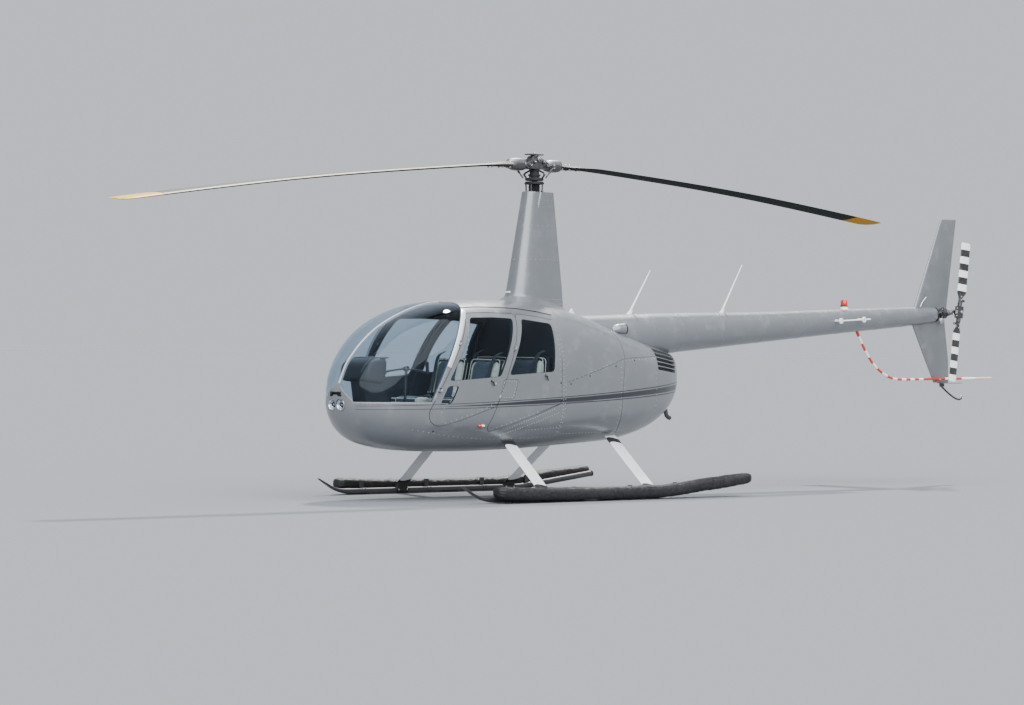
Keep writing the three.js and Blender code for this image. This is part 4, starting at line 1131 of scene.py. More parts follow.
def hullPanels():
    # one net for all fixed skins, shared out by the middles of its triangles
    lines = borderLines() + [(screenLoop, True), (doorLoops["frontDoor"], True),
                             (doorLoops["rearDoor"], True)]
    noseSide = hullSide(noseLine()[-1:])[0]
    lines += [
        (hullLine([(-2.4402, panels["waist"]), (noseSide[0], panels["waist"])]), False),
        (hullLine([outlines["windshieldRear"][0], (panels["bulkhead"], panels["waist"])]), False),
        (upright(panels["bulkhead"], 0.3, 2.0), False),
        (hullLine(outlines["seamAft"]), False),
        (upright(panels["cowlSplit"], 1.299, 2.0), False),
        (
            widthLine(np.linspace(hullSide(nose[:1])[0, 0] + 0.0005, panels["roofEnd"][0], 150), panels["bow"]),
            False,
        ),
    ]
    lines += [(lampHole, True), (ventHole, False)] + [(slot, True) for slot in slotHoles]
    edge = np.pi / 2 * hull["turn"]
    net, triangles = cutPanel(lines, lambda m: np.ones(len(m), bool), hull["step"],
                              (np.array([0, -edge]), np.array([hullEnd, edge])))
    middle = net[triangles].mean(1)
    side = hullSide(middle)
    x, z = side.T
    y = -hullPoint(middle[:, 0], middle[:, 1] / hull["turn"])[:, 1]
    screen = inside(middle, screenLoop)
    door = inside(middle, doorLoops["frontDoor"]) | inside(middle, doorLoops["rearDoor"])
    cutOut = inside(middle, lampHole) | inside(middle, ventHole)
    for slot in slotHoles:
        cutOut |= inside(middle, slot)
    fore = (x < panels["bulkhead"]) & ~door & ~cutOut
    seam = np.array(outlines["seamAft"])
    aboveSeam = z > np.interp(x, seam[:, 0], seam[:, 1])
    aft = (x > panels["bulkhead"]) & ~cutOut
    region = {
        "bow": screen & (y < panels["bow"]),
        "screen": screen & (y > panels["bow"]),
        "lower": fore & ~screen & (z < panels["waist"]),
        "upper": fore & ~screen & (z > panels["waist"]),
        "engineBay": aft & ~aboveSeam,
        "topCowl": aft & aboveSeam & (x < panels["cowlSplit"]),
        "rearCowl": aft & aboveSeam & (x > panels["cowlSplit"]),
    }
    return net, {k: triangles[v] for k, v in region.items()}


hullNet, hullRegions = hullPanels()
print("hull net:", {k: len(v) for k, v in hullRegions.items()})


def hullHalf(region, outer=0.0, inner=hull["wall"]):
    # the port half of one skin, between two depths
    return panelShell(hullNet, hullRegions[region], outer, inner)


def makeHull():
    # each region of the net as a shell, mirrored; the bow strip stands 1.5 mm proud
    for region, name, node in (
        ("lower", "hullLower", "lower_hull"), ("engineBay", "enginePanels", "engine_bay_panels"),
        ("topCowl", "cowlUpper", "upper_cowl"), ("rearCowl", "cowlRear", "rear_cowl"),
        ("upper", "cabinFrame", "cabin_frame"),
    ):
        mould = Mould().add(hullHalf(region)).both()
        if region == "upper":
            postStrips(mould)
        makePiece(mould, name, "silver lining seal", "silver_paint", [node], weld=3e-5, bevel=0.0012)
    # the centre strip takes the paler silver, a painted highlight
    bow = Mould().add(hullHalf("bow", -0.0015, 0.02)).both()
    makePiece(bow, "windshieldBow", "bow lining", "silver_paint", ["windshield_bow"], weld=3e-5, bevel=0.001)


def postStrips(mould):
    # the inner door post on each side, between the seats, deep under the door edges
    loop = hullFlat(softOutline(panels["postStrip"], 0.01, 0.02))
    net, triangles = cutPanel([(loop, True)], lambda m: inside(m, loop), 0.03)
    half = Mould().add(panelShell(net, triangles, 0.036, 0.062, 1, 1))
    half.faces = [(f, 1) for f, _ in half.faces]
    mould.join(half.both())


def glassShell(loop):
    # a sheet filling a loop of the panel plane
    net, triangles = cutPanel([(loop, True)], lambda m: inside(m, loop), 0.03)
    return panelShell(net, triangles, *panels["glass"], 0, 0)


def makeGlass():
    # the windshield halves from the net, and one sheet for each window
    half = Mould().add(panelShell(hullNet, hullRegions["screen"], *panels["glass"], 0, 0))
    makePair(half, "Screen", "glass", "tinted_glazing", "windshield")
    fore = Mould().add(glassShell(windowLoops["frontWindow"])).add(glassShell(windowLoops["lowWindow"]))
    rear = Mould().add(glassShell(windowLoops["rearWindow"]))
    for place, mould in (("front", fore), ("rear", rear)):
        door = place + "_door"
        makePair(mould, place.title() + "Pane", "glass", "tinted_glazing", door + "_window", door)


knuckle = {
    "half": 0.0135,  # of its length
    "radius": 0.0095,
    "pin": 0.0046,
    "ear": (0.0142, 0.025),  # its ends from the middle
}
hinges = {
    "front": {"x": -1.683, "y": 0.602, "z": 1.014, "slope": 0.538, "heights": (1.014, 1.440),
              "onPost": False},
    "rear": {"x": -1.008, "y": 0.644, "z": 0.943, "slope": 0.439, "heights": (0.955, 1.400), "onPost": True},
}


def hingeShapes(hinge, z):
    # knuckle and leaf of the door, ears and pin of the frame, drawn with the hinge line along the third axis
    x = hinge["x"] + (z - hinge["z"]) * hinge["slope"]
    a = hullAt(np.array([x]))
    off = hinge["y"] + hullPoint(a, hullTurn(a, np.array([z])))[0, 1]
    n = math.hypot(hinge["slope"], 1)
    c, s = 1 / n, hinge["slope"] / n
    matrix = np.array([[c, 0, -s], [0, -1, 0], [-s, 0, -c]])
    move = (x + mastX, -hinge["y"], z)
    half, r, (near, far) = knuckle["half"], knuckle["radius"], knuckle["ear"]
    onDoor = [
        latheShape([(0, 0.006), (0.001, r), (0.026, r), (0.027, 0.006)], (0, 0, -half), (0, 0, 1), 16),
        boxShape((-0.007, min(-off + 0.007, -0.004), -half), (0.010, 0, half)),
        boxShape((0.009, -off - 0.006, -half), (0.040, -off + 0.004, half)),
    ]
    back, root = (-0.008, 0.042) if hinge["onPost"] else (-0.020, 0.014)
    ears = [
        boxShape((back, -off - root, near), (0.004, 0.008, far)),
        boxShape((back, -off - root, -far), (0.004, 0.008, -near)),
        rodShape((0, 0, -0.026), (0, 0, 0.026), knuckle["pin"], 12),
    ]
    return [turned(k, matrix, move) for k in onDoor], [turned(e, matrix, move) for e in ears]


def makeDoors():
    # an outer skin and an inset pan for each door, with window seals and hinge knuckles
    windows = {"front": ("frontWindow", "lowWindow"), "rear": ("rearWindow",)}
    ears = Mould()
    for place, holes in windows.items():
        name = place + "Door"
        mould = Mould()
        # the skin's rim walls are black: painted shade in the gap round the door
        for loop, outer, inner, wall in ((skinLoops[name], 0.0, panels["doorSkin"], 2),
                                         (panLoops[name], panels["doorSkin"] - 0.0005, hull["wall"], 1)):
            lines = [(loop, True)] + [(windowLoops[w], True) for w in holes]

            def keep(middle):
                # inside the door and in none of its windows
                cutOut = sum(inside(middle, windowLoops[w]) for w in holes)
                return inside(middle, loop) & (cutOut == 0)

            net, triangles = cutPanel(lines, keep, hull["step"])
            mould.add(panelShell(net, triangles, outer, inner, wall, 1))
        for w in holes:
            mould.add(hullTube(windowLoops[w], 0.0035, 0.0032), 2)
        for z in hinges[place]["heights"]:
            onDoor, onFrame = hingeShapes(hinges[place], z)
            for shape in onDoor:
                mould.add(shape)
            for shape in onFrame:
                ears.add(shape)
        door = place + "_door"
        makePair(mould, place.title() + "DoorSkin", "silver lining seal black", "silver_paint", door, door,
                 bevel=0.001)
    makePiece(ears.both(), "hingeEars", "silverPlain", "silver_paint", bevel=0.0006)


makeHull()
makeGlass()
makeDoors()
print("hull, glass and doors made")


def rivets(mould, surface, u, v, radius=0.0036, height=0.0012, material=0, sides=6):
    # low domes on a surface(u, v), square to it: u steps crossed with v steps look outwards
    u, v = (w.ravel() for w in np.broadcast_arrays(np.asarray(u, float), np.asarray(v, float)))
    d = 1e-4
    normal = np.cross(surface(u + d, v) - surface(u - d, v), surface(u, v + d) - surface(u, v - d))
    mould.add(domesShape(surface(u, v), normal, radius, height, sides), material)


# tail cone
cone = {
    "rows": [  # x, height of the middle, radius
        (0.400, 1.498, 0.212), (0.900, 1.512, 0.213), (1.430, 1.536, 0.208), (2.000, 1.566, 0.192),
        (3.140, 1.626, 0.1535), (4.300, 1.695, 0.125), (5.280, 1.750, 0.1025), (5.790, 1.781, 0.086),
    ],
    "ends": (0.5, 5.786),
    "joints": (1.45, 1.86, 2.45, 3.06, 3.66, 4.26, 4.86, 5.28),
    "strap": (0.014, 0.0009),  # half width and height of the strap over each joint
    "rivets": 40,  # around a joint
}


def conePoint(x, turn, lift=0.0):
    # a circle about the cone's middle, from port over the top
    rows = np.array(cone["rows"])
    middle, radius = (smoothCurve(rows[:, 0], rows[:, k], x) for k in (1, 2))
    return stacked(x + mastX, -(radius + lift) * np.cos(turn), middle + (radius + lift) * np.sin(turn))


def makeCone():
    # rings along the cone, stepped at each strap, with rivets on both sides of every joint
    half, high = cone["strap"]
    start, end = cone["ends"]
    bands = np.array(cone["joints"])
    profile = [(x, 0.0) for x in np.linspace(start, end, 80) if np.min(np.abs(bands - x)) > half + 0.004]
    for x in bands:
        for s in (-1, 1):
            profile += [(x + s * (half + d), h) for d, h in ((0.0006, 0.0), (0, 0.8 * high), (-0.001, high))]
    profile += [(end + 0.003, -0.0015), (end + 0.004, -0.004)]
    profile = np.array(sorted(profile))
    turn = evenTurns(72)
    mould = Mould().add(gridShape(conePoint(profile[:, :1], turn[None], profile[:, 1:])))
    around = evenTurns(cone["rivets"])
    rows = np.concatenate([bands - 0.007, bands + 0.007])
    rivets(mould, lambda x, t: conePoint(x, t, high), rows[:, None], around[None])
    seam = np.arange(start, end, 0.028)
    rivets(mould, conePoint, seam, np.full(len(seam), -1.9), 0.003)
    makePiece(mould, "tailConeSkin", "silverPlain", "silver_paint", ["tailcone"])


# streamlined upright skins: the mast fairing and the fins
fairing = {
    "rows": [  # height, leading and trailing x, thickness
        (1.700, -0.362, 0.400, 0.277), (1.760, -0.345, 0.392, 0.270), (1.960, -0.300, 0.372, 0.250),
        (2.880, -0.127, 0.248, 0.150),
    ],
    "dent": {"top": 2.874, "tip": 2.725, "x": (-0.007, -0.023), "half": 0.034, "depth": 0.012},
    "screws": [
        (0.147, 2.862), (0.205, 2.860), (0.130, 2.801), (0.196, 2.801), (-0.095, 2.866), (-0.062, 2.867),
        (0.165, 2.745), (0.205, 2.742),
    ],
    "rings": [  # of screws: height, first and last x, number
        (2.237, -0.262, 0.300, 10), (1.862, -0.325, 0.350, 22), (2.560, -0.180, 0.262, 7),
    ],
    "skirt": (0.085, 0.075),  # width on the roof and height on the fairing
}
fins = {
    "upper": [(1.835, 5.490, 6.018, 0.044), (2.795, 5.912, 6.162, 0.024)],
    "lower": [(1.0633, 5.824, 6.066, 0.022), (1.304, 5.682, 6.060, 0.034), (1.700, 5.455, 5.994, 0.044)],
    "spars": (0.30, 0.72),
    "stabilizer": {"y": (0.07, 1.106), "x0": (5.130, 5.190), "x1": (5.510, 5.500), "thick": (0.034, 0.026),
                   "z": 1.752},
    "plate": [(5.930, -0.062), (6.260, -0.05), (6.260, 0.05), (5.930, 0.062)],
}


def streamPoint(rows, turn, height, lift=0.0):
    # f = (1 - cos turn) / 2 along the chord; half thickness (3.95 (sqrt f - f) + 0.04) / 1.0275 of the
    # widest, to port for turns up to pi
    rows = np.asarray(rows)
    x0, x1, thick = (np.interp(height, rows[:, 0], rows[:, k]) for k in (1, 2, 3))
    f = 0.5 * (1 - np.cos(turn))
    half = (3.95 * (np.sqrt(f) - f) + 0.04) / 1.0275
    y = -np.sign(np.sin(turn)) * half * (thick / 2 + lift)
    return stacked(x0 - lift + (x1 - x0 + 2 * lift) * f + mastX, y, height)


def turnAt(rows, x, height):
    # the port turn at which the section at a height stands at x
    rows = np.asarray(rows)
    x0, x1 = (np.interp(height, rows[:, 0], rows[:, k]) for k in (1, 2))
    return np.arccos(1 - 2 * np.clip((x - x0) / (x1 - x0), 0, 1))


def roofHeight(x, y):
    # the hull's height over a place on the ground
    _, _, roof, half, widest, _, upper = hullColumns(hullAt(x))
    share = np.clip(np.abs(y) / half, 0, 0.999)
    return widest + (roof - widest) * (1 - share ** upper) ** (1 / upper)


def makeFairing():
    # stream sections with a dent near the top, on a skirt whose curve is (1 - q)^2, 2 q (1 - q) and q^2 of
    # the wall, the foot and the outer edge
    rows, dent = fairing["rows"], fairing["dent"]
    turn = evenTurns(240, 0.5)
    height = np.concatenate([np.linspace(1.70, 2.71, 24), np.linspace(2.716, dent["top"], 40),
                             [2.878, 2.880]])
    lift = np.concatenate([np.zeros(len(height) - 2), [-0.001, -0.004]])
    skin = streamPoint(rows, turn[None], height[:, None], lift[:, None])
    share = (height[:, None] - dent["tip"]) / (dent["top"] - dent["tip"])
    middle = dent["x"][1] + (dent["x"][0] - dent["x"][1]) * share
    inwards = np.clip((dent["half"] * share - np.abs(skin[..., 0] - mastX - middle)) / 0.005, 0, 1)
    off = np.maximum(np.abs(skin[..., 1]), 0.02)
    skin[..., 1] *= 1 - dent["depth"] * np.where(share > 0, inwards, 0) / off
    mould = Mould().add(gridShape(skin))
    wide, high = fairing["skirt"]
    foot = streamPoint(rows, turn, np.full(240, 1.8))
    foot[:, 2] = roofHeight(foot[:, 0] - mastX, foot[:, 1])
    wall = streamPoint(rows, turn, foot[:, 2] + high, 0.0004)
    along = np.roll(foot, -1, 0) - np.roll(foot, 1, 0)
    away = unit(np.stack([-along[:, 1], along[:, 0], 0 * along[:, 0]], -1))
    away *= np.sign(np.sum(away * (foot - foot.mean(0)), -1, keepdims=True))
    outer = foot + away * wide
    outer[:, 2] = roofHeight(outer[:, 0] - mastX, outer[:, 1]) + 0.0006
    q = np.linspace(0, 1, 12)[:, None, None]
    skirt = wall * (1 - q) ** 2 + 2 * foot * q * (1 - q) + outer * q * q
    floor = np.stack([outer, wall]) - (0, 0, 0.02)
    mould.add(gridShape(np.concatenate([skirt, floor]), "loop"))
    screws = np.array(fairing["screws"])
    for z, x0, x1, count in fairing["rings"]:
        screws = np.vstack([screws, np.stack([np.linspace(x0, x1, count), np.full(count, z)], -1)])
    at = turnAt(rows, screws[:, 0], screws[:, 1])
    for side in (at, 2 * np.pi - at):
        rivets(mould, lambda t, z: streamPoint(rows, t, z), side, screws[:, 1], 0.0045, 0.0014, 1)
    makePiece(mould, "mastFairing", "silverPlain alloy", "silver_paint", ["mast_fairing"], angle=30)


def makeFins():
    # stream sections of each fin, closed by drawn-in ones at its free end, with rivets along both spars
    for name, rows in ((k, np.array(fins[k])) for k in ("upper", "lower")):
        closing = np.array([0.0, 0.0, -0.0012, -0.004])
        tip = rows[-1, 0] if name == "upper" else rows[0, 0]
        away = 1 if name == "upper" else -1
        last = tip + away * np.array([-0.02, -0.004, -0.001, 0.0])
        other = rows[0, 0] - 0.03 if name == "upper" else rows[-1, 0] + 0.03
        height = np.concatenate([np.linspace(other, tip - away * 0.03, 24), last])
        lift = np.concatenate([np.zeros(24), closing])
        turn = evenTurns(96, 0.5)
        mould = Mould().add(gridShape(streamPoint(rows, turn[None], height[:, None], lift[:, None])))
        span = np.arange(rows[0, 0] + 0.03, rows[-1, 0] - 0.02, 0.045)
        for share in fins["spars"]:
            at = np.full(len(span), math.acos(1 - 2 * share))
            for side in (at, 2 * np.pi - at):
                rivets(mould, lambda t, z: streamPoint(rows, t, z), side, span, 0.0032, 0.0009)
        makePiece(mould, name + "FinSkin", "silverPlain", "silver_paint", [name + "_fin"], angle=30)


def makeStabilizer():
    # wing sections out to starboard, closed by two thinner ones; rivets stand on two lines of the upper skin
    wing = fins["stabilizer"]
    y = np.append(np.linspace(0.07, 1.1, 20), [1.106, 1.110])
    x0, x1, thick = (np.interp(y, wing["y"], wing[k]) for k in ("x0", "x1", "thick"))
    ends = np.append(np.ones(20), [0.8, 0.35])
    leading = np.stack([x0 + mastX + (1 - ends) * 0.01, y, np.full(22, wing["z"])], -1)
    chord = np.stack([(x1 - x0) - (1 - ends) * 0.02, 0 * y, 0 * y], -1)
    mould = Mould().add(foilShape(leading, chord, np.stack([0 * y, 0 * y, thick * ends], -1), 64))

    def wingPoint(share, across):
        # the upper skin, a little lower towards the trailing edge
        lead, trail = np.interp(across, wing["y"], wing["x0"]), np.interp(across, wing["y"], wing["x1"])
        x = lead + (trail - lead) * share + mastX
        return np.stack([x, across, wing["z"] + 0.0145 - 0.012 * share], -1)

    across = np.arange(0.14, 1.08, 0.04)
    for share in (0.3, 0.7):
        rivets(mould, wingPoint, np.full(len(across), share), across, 0.0032, 0.0009)
    makePiece(mould, "stabilizer", "silverPlain", "silver_paint", ["horizontal_stabilizer"])


def makeEndPlate():
    # a flat plate with round corners under the lower fin
    plate = softOutline([(x + mastX, y) for x, y in fins["plate"]], 0.04, 0.008)
    makePiece(Mould().add(slabShape(plate, 1.0550, 1.0630, 0.0025, "xy")), "finEndPlate", "silverPlain",
              "silver_paint", ["fin_end_plate"])


makeCone()
makeFairing()
makeFins()
makeStabilizer()
makeEndPlate()
print("tail cone, fairing and fins made")


# tail rotor, its gearbox, guard and skid
tailRotor = {
    "lean": 0.12,  # turn of the upper blade aft
    "radius": 0.7366,
    "rows": [  # radius, chord, thickness
        (0.1083, 0.046, 0.030), (0.150, 0.050, 0.028), (0.172, 0.082, 0.022), (0.205, 0.130, 0.016),
        (0.460, 0.130, 0.0145), (0.7186, 0.130, 0.013), (0.7310, 0.118, 0.010), (0.7366, 0.100, 0.006),
    ],
    "gearbox": (5.890, 1.784),
    "barrel": [  # profiles of the gearbox: distance along the axis and radius
        (0.0, 0.070), (0.002, 0.078), (0.014, 0.079), (0.016, 0.070), (0.028, 0.070), (0.030, 0.078),
        (0.042, 0.078), (0.044, 0.066), (0.090, 0.063), (0.130, 0.056), (0.160, 0.050), (0.168, 0.040),
        (0.1695, 0.02),
    ],
    "arm": [
        (0.0, 0.040), (0.003, 0.056), (0.016, 0.060), (0.028, 0.060), (0.030, 0.052), (0.075, 0.050),
        (0.110, 0.050), (0.112, 0.060), (0.126, 0.060), (0.128, 0.046), (0.165, 0.040), (0.188, 0.034),
        (0.19, 0.02),
    ],
    "gauge": [
        (0, 0.026), (0.012, 0.030), (0.030, 0.030), (0.032, 0.034), (0.046, 0.034), (0.050, 0.030),
        (0.051, 0.01),
    ],
    "bolts": (0.072, 0.053),  # radii of the rings of bolts on the barrel and on the arm
}
guard = {
    "line": [
        (4.588, 0.0, 1.618), (4.605, 0.0, 1.590), (4.682, -0.010, 1.456), (4.760, -0.018, 1.342),
        (4.863, -0.025, 1.238), (4.982, -0.032, 1.161), (5.060, -0.035, 1.128), (5.134, -0.038, 1.108),
        (5.220, -0.041, 1.100), (5.318, -0.043, 1.098), (5.717, -0.045, 1.103), (6.191, -0.060, 1.108),
        (6.668, -0.100, 1.113),
    ],
    "radius": 0.013,
    "bands": [0.085] * 9 + [0.068] * 7 + [0.35, 0.12, 0.135, 0.2],  # lengths, red first
    "clamp": (5.854, -0.066, -0.005, 1.101),  # x, both ends across and height
    "skid": [
        (5.945, 0, 1.030), (6.000, 0, 0.995), (6.095, 0, 0.938), (6.190, 0, 0.895), (6.245, 0, 0.884),
        (6.290, 0, 0.902),
    ],
    "ring": (6.285, 0.905, 0.019),  # x, height and radius of the ring at the skid's end
}


def makeTailRotor():
    # two blades of wing sections set at a small pitch, and a hub of turned bars, blocks and links
    t = tailRotor
    rows = np.array(t["rows"])
    matrix = aboutAxis((0, 1, 0), t["lean"])
    at = np.concatenate([np.linspace(rows[0, 0], rows[3, 0], 12), np.linspace(0.22, 0.715, 34), rows[5:, 0]])
    chord, thick = (np.interp(at, rows[:, 0], rows[:, k]) for k in (1, 2))
    zero = 0 * at
    pitch = 0.1
    leading = np.stack([-0.4 * chord * math.cos(pitch), 0.4 * chord * math.sin(pitch), at], -1)
    blade = foilShape(leading, np.stack([chord * math.cos(pitch), -chord * math.sin(pitch), zero], -1),
                      np.stack([zero, thick, zero], -1), 40)
    along = np.append(np.repeat(at, 40), [at[0], at[-1]])
    for number, end in ((1, 1), (2, -1)):
        spun = matrix @ aboutAxis((0, 1, 0), 0 if end > 0 else math.pi)
        mould = Mould().add(turned(blade, spun, tailHub), 0, along)
        for r in (0.13, 0.165):
            bolt = rodShape((0, -0.020, r), (0, 0.020, r), 0.007, 10)
            mould.add(turned(bolt, spun, tailHub), 1)
        makePiece(mould, "tailBlade" + str(number), "tailBands alloy", "white_paint",
                  ["tail_blade_" + str(number)], body="tail_rotor")
    hub = Mould()
    parts = [
        (rodShape((0, 0.068, 0), (0, -0.046, 0), 0.018, 20), 1),
        (rodShape((0, 0.060, 0), (0, 0.030, 0), 0.030, 20), 0),
        (rodShape((0, -0.040, 0), (0, -0.052, 0), 0.014, 6), 1),
        (latheShape([(0, 0.02), (0.004, 0.024), (0.212, 0.024), (0.216, 0.02)], (0, 0, -0.108), (0, 0, 1),
                    20), 0),
        (boxShape((-0.034, -0.030, -0.062), (0.034, 0.030, 0.062)), 0),
        (boxShape((-0.044, -0.012, -0.018), (0.044, 0.012, 0.018)), 2),
    ]
    for s in (-1, 1):
        parts += [
            (rodShape((0.040 * s, 0.045, 0.012 * s), (0.050 * s, 0.006, 0.128 * s), 0.006, 10), 1),
            (boxShape((-0.010, -0.016, 0.112), (0.058, 0.016, 0.136)) if s > 0
             else boxShape((-0.058, -0.016, -0.136), (0.010, 0.016, -0.112)), 0),
            (blobShape((0.050 * s, 0.0, 0.126 * s), (0.02, 0.024, 0.02), 2.0, 8, 12), 2),
            (rodShape((-0.036, 0, 0.040 * s), (0.036, 0, 0.040 * s), 0.009, 10), 2),
            (boxShape((-0.050, 0.036, -0.008), (0.050, 0.052, 0.008)), 0),
        ]
    for shape, material in parts:
        hub.add(turned(shape, matrix, tailHub), material)
    makePiece(hub, "tailHub", "black steel alloy", "black_paint", ["tail_rotor_hub"], body="tail_rotor",
              bevel=0.0015)


def makeGearbox():
    # a barrel along the hull and an arm out to port, both turned, with bolts, a gauge and pipes
    x, z = tailRotor["gearbox"]
    x += mastX
    mould = Mould().add(latheShape(tailRotor["barrel"], (x - 0.099, 0, z), (1, 0, 0), 40), 0)
    mould.add(latheShape(tailRotor["arm"], (x, 0.040, z + 0.006), (0, -1, 0.095), 36), 0)
    mould.add(latheShape([(0, 0.030), (0.055, 0.030), (0.058, 0.024), (0.074, 0.024)], (x, -0.14, z + 0.026),
                         (0, -1, 0), 24), 1)
    wide, narrow = tailRotor["bolts"]
    for a in evenTurns(8):
        bolt = (x - 0.060, wide * math.cos(a), z + wide * math.sin(a))
        mould.add(rodShape(bolt, (bolt[0] + 0.012, *bolt[1:]), 0.006, 6), 2)
        ring = (x + narrow * math.cos(a), -0.084, z + 0.018 + narrow * math.sin(a))
        mould.add(rodShape(ring, (ring[0], ring[1] - 0.010, ring[2]), 0.005, 6), 2)
    gaugeFoot = (x - 0.040, -0.040, z - 0.052)
    mould.add(latheShape(tailRotor["gauge"], gaugeFoot, (0.25, -1, -0.35), 28), 2)
    mould.add(latheShape([(0, 0.014), (0.02, 0.014), (0.024, 0.010)], (x - 0.02, 0, z + 0.055), (0, 0, 1),
                         16), 2)
    for s, r in ((0.030, 0.0045), (0.045, 0.0035)):
        line = [(x - 0.09, -0.080, z + 0.01), (x - 0.05, -0.098, z + s), (x - 0.01, -0.12, z + s),
                (x + 0.02, -0.17, z + s + 0.01)]
        mould.add(tubeShape(smoothPath(line, 16), r, 8), 3)
    makePiece(mould, "tailGearbox", "darkMetal steel alloy black", "alloy", ["tail_gearbox"], bevel=0.001)


def makeGuard():
    # a tube whose value counts the painted bands up to each point, with a clamp and a sleeve
    g = guard
    path = smoothPath(g["line"], 260) + (mastX, 0, 0)
    length = np.concatenate([[0], np.cumsum(np.linalg.norm(np.diff(path, axis=0), axis=1))])
    edges = np.concatenate([[0], np.cumsum(g["bands"])])
    number = np.interp(length, edges, np.arange(len(edges)))
    radius = np.full(len(path), g["radius"])
    radius[-3:] = g["radius"] * np.array([0.97, 0.85, 0.6])
    value = np.append(np.repeat(number, 14), [number[0], number[-1]])
    mould = Mould().add(tubeShape(path, radius, 14), 0, value)
    x, y0, y1, z = g["clamp"]
    mould.add(rodShape((x + mastX, y0, z), (x + mastX, y1, z), 0.024, 24), 1)
    mould.add(rodShape((x + mastX, y0 - 0.008, z), (x + mastX, y0 + 0.002, z), 0.009, 6), 2)
    mould.add(tubeShape(path[2:9], 0.0165, 14), 1)
    makePiece(mould, "tailGuard", "guardBands red alloy", "red_paint", ["tail_guard"])


def makeTailSkid():
    # a bent rod with a ring at its end and a block at its root
    skid = smoothPath(guard["skid"], 40) + (mastX, 0, 0)
    mould = Mould().add(tubeShape(skid, 0.0105, 14), 0)
    turn = evenTurns(24)
    x, z, r = guard["ring"]
    ring = np.stack([x + mastX + r * np.cos(turn), 0 * turn, z + r * np.sin(turn)], -1)
    mould.add(tubeShape(ring, 0.006, 10, ends="loop"), 1)
    mould.add(boxShape((5.934 + mastX, -0.013, 1.022), (5.990 + mastX, 0.013, 1.0548)), 0)
    makePiece(mould, "tailSkid", "darkMetal alloy", "steel", ["tail_skid"], bevel=0.001)


makeTailRotor()
makeGearbox()
makeGuard()
makeTailSkid()
print("tail rotor made")


# main rotor
rotor = {
    "azimuth": math.radians(2.65),
    "teeter": 0.0079,
    "pitch": 0.085,  # nose down at the tip, radians
    "tip": 5.028,
    "rows": [  # radius, height, chord, thickness, leading edge off the blade's axis
        (0.2823, 3.130, 0.084, 0.062, 0.042), (0.420, 3.127, 0.096, 0.056, 0.048),
        (0.560, 3.120, 0.180, 0.040, 0.060), (0.700, 3.112, 0.254, 0.032, 0.064),
        (1.300, 3.068, 0.254, 0.030, 0.064), (2.200, 2.995, 0.254, 0.030, 0.064),
        (3.100, 2.909, 0.254, 0.030, 0.064), (4.000, 2.807, 0.254, 0.030, 0.064),
        (4.700, 2.721, 0.254, 0.028, 0.064), (4.900, 2.695, 0.250, 0.024, 0.060),
        (4.990, 2.683, 0.214, 0.018, 0.028), (5.028, 2.678, 0.140, 0.010, -0.036),
    ],
    "hub": 3.130,  # height of the crossbar
    "block": [(-0.085, -0.02), (0.085, -0.02), (0.060, 0.088), (-0.060, 0.088)],  # from the crossbar
    "plate": [
        (-0.150, -0.030), (-0.110, -0.036), (0.110, -0.036), (0.150, -0.030), (0.150, 0.020), (0.060, 0.062),
        (-0.060, 0.062), (-0.150, 0.020),
    ],
    "studs": [  # x, height and radius on both plates
        (0.0, 0.058, 0.024), (-0.062, 0.030, 0.017), (0.062, 0.030, 0.017), (-0.118, -0.005, 0.020),
        (0.118, -0.005, 0.020),
    ],
    "horn": [(0.120, -0.030), (0.200, -0.030), (0.150, -0.150), (0.105, -0.150)],
    "shaft": [  # height and radius
        (2.886, 0.026), (2.887, 0.0285), (2.984, 0.0285), (2.985, 0.080), (2.988, 0.088), (3.008, 0.088),
        (3.011, 0.080), (3.012, 0.052), (3.026, 0.050), (3.030, 0.060), (3.044, 0.060), (3.048, 0.046),
        (3.074, 0.044), (3.078, 0.052), (3.090, 0.052), (3.094, 0.038), (3.109, 0.036),
    ],
    "ring": [  # of the swashplate: height and radius, down the outside and up the bore
        (2.948, 0.060), (2.950, 0.082), (2.954, 0.088), (2.972, 0.088), (2.977, 0.082), (2.978, 0.060),
        (2.978, 0.0365), (2.948, 0.0365),
    ],
}


def bladeShape(lean):
    # wing sections along the aft blade; the leading edge lies to starboard and drops by the pitch
    rows = np.array(rotor["rows"])
    at = np.concatenate([np.linspace(0.2823, 0.80, 24), np.linspace(0.86, 4.85, 70),
                         np.linspace(4.87, 5.028, 20)])
    z, chord, thick, lead = (smoothCurve(rows[:, 0], rows[:, k], at) for k in (1, 2, 3, 4))
    pitch = rotor["pitch"] * at / rotor["tip"]
    c, s = np.cos(pitch), np.sin(pitch)
    high = z + lean * (at - 0.282)
    leading = np.stack([at, lead * c, high - lead * s], -1)
    points, faces = foilShape(leading, np.stack([0 * at, -chord * c, chord * s], -1),
                              np.stack([0 * at, thick * s, thick * c], -1), 48)
    along = np.append(np.repeat(at, 48), [at[0], at[-1]])
    quads = faces[0]
    column = np.minimum.reduce([quads[:, k] % 48 for k in range(4)])
    share = foilRing(48)[0][column]
    wraps = (quads % 48).max(1) == 47
    column = np.where(wraps & (column == 0), 47, column)
    # upper faces take the lit copy and the painted highlight along the leading edge; lower faces take the
    # shaded copy
    number = np.where(column < 24, np.where(share < 0.04, 2, 0), 1)
    parts = [(quads[number == k], k) for k in range(3)] + [(f, 0) for f in faces[1:]]
    return (points, parts), along


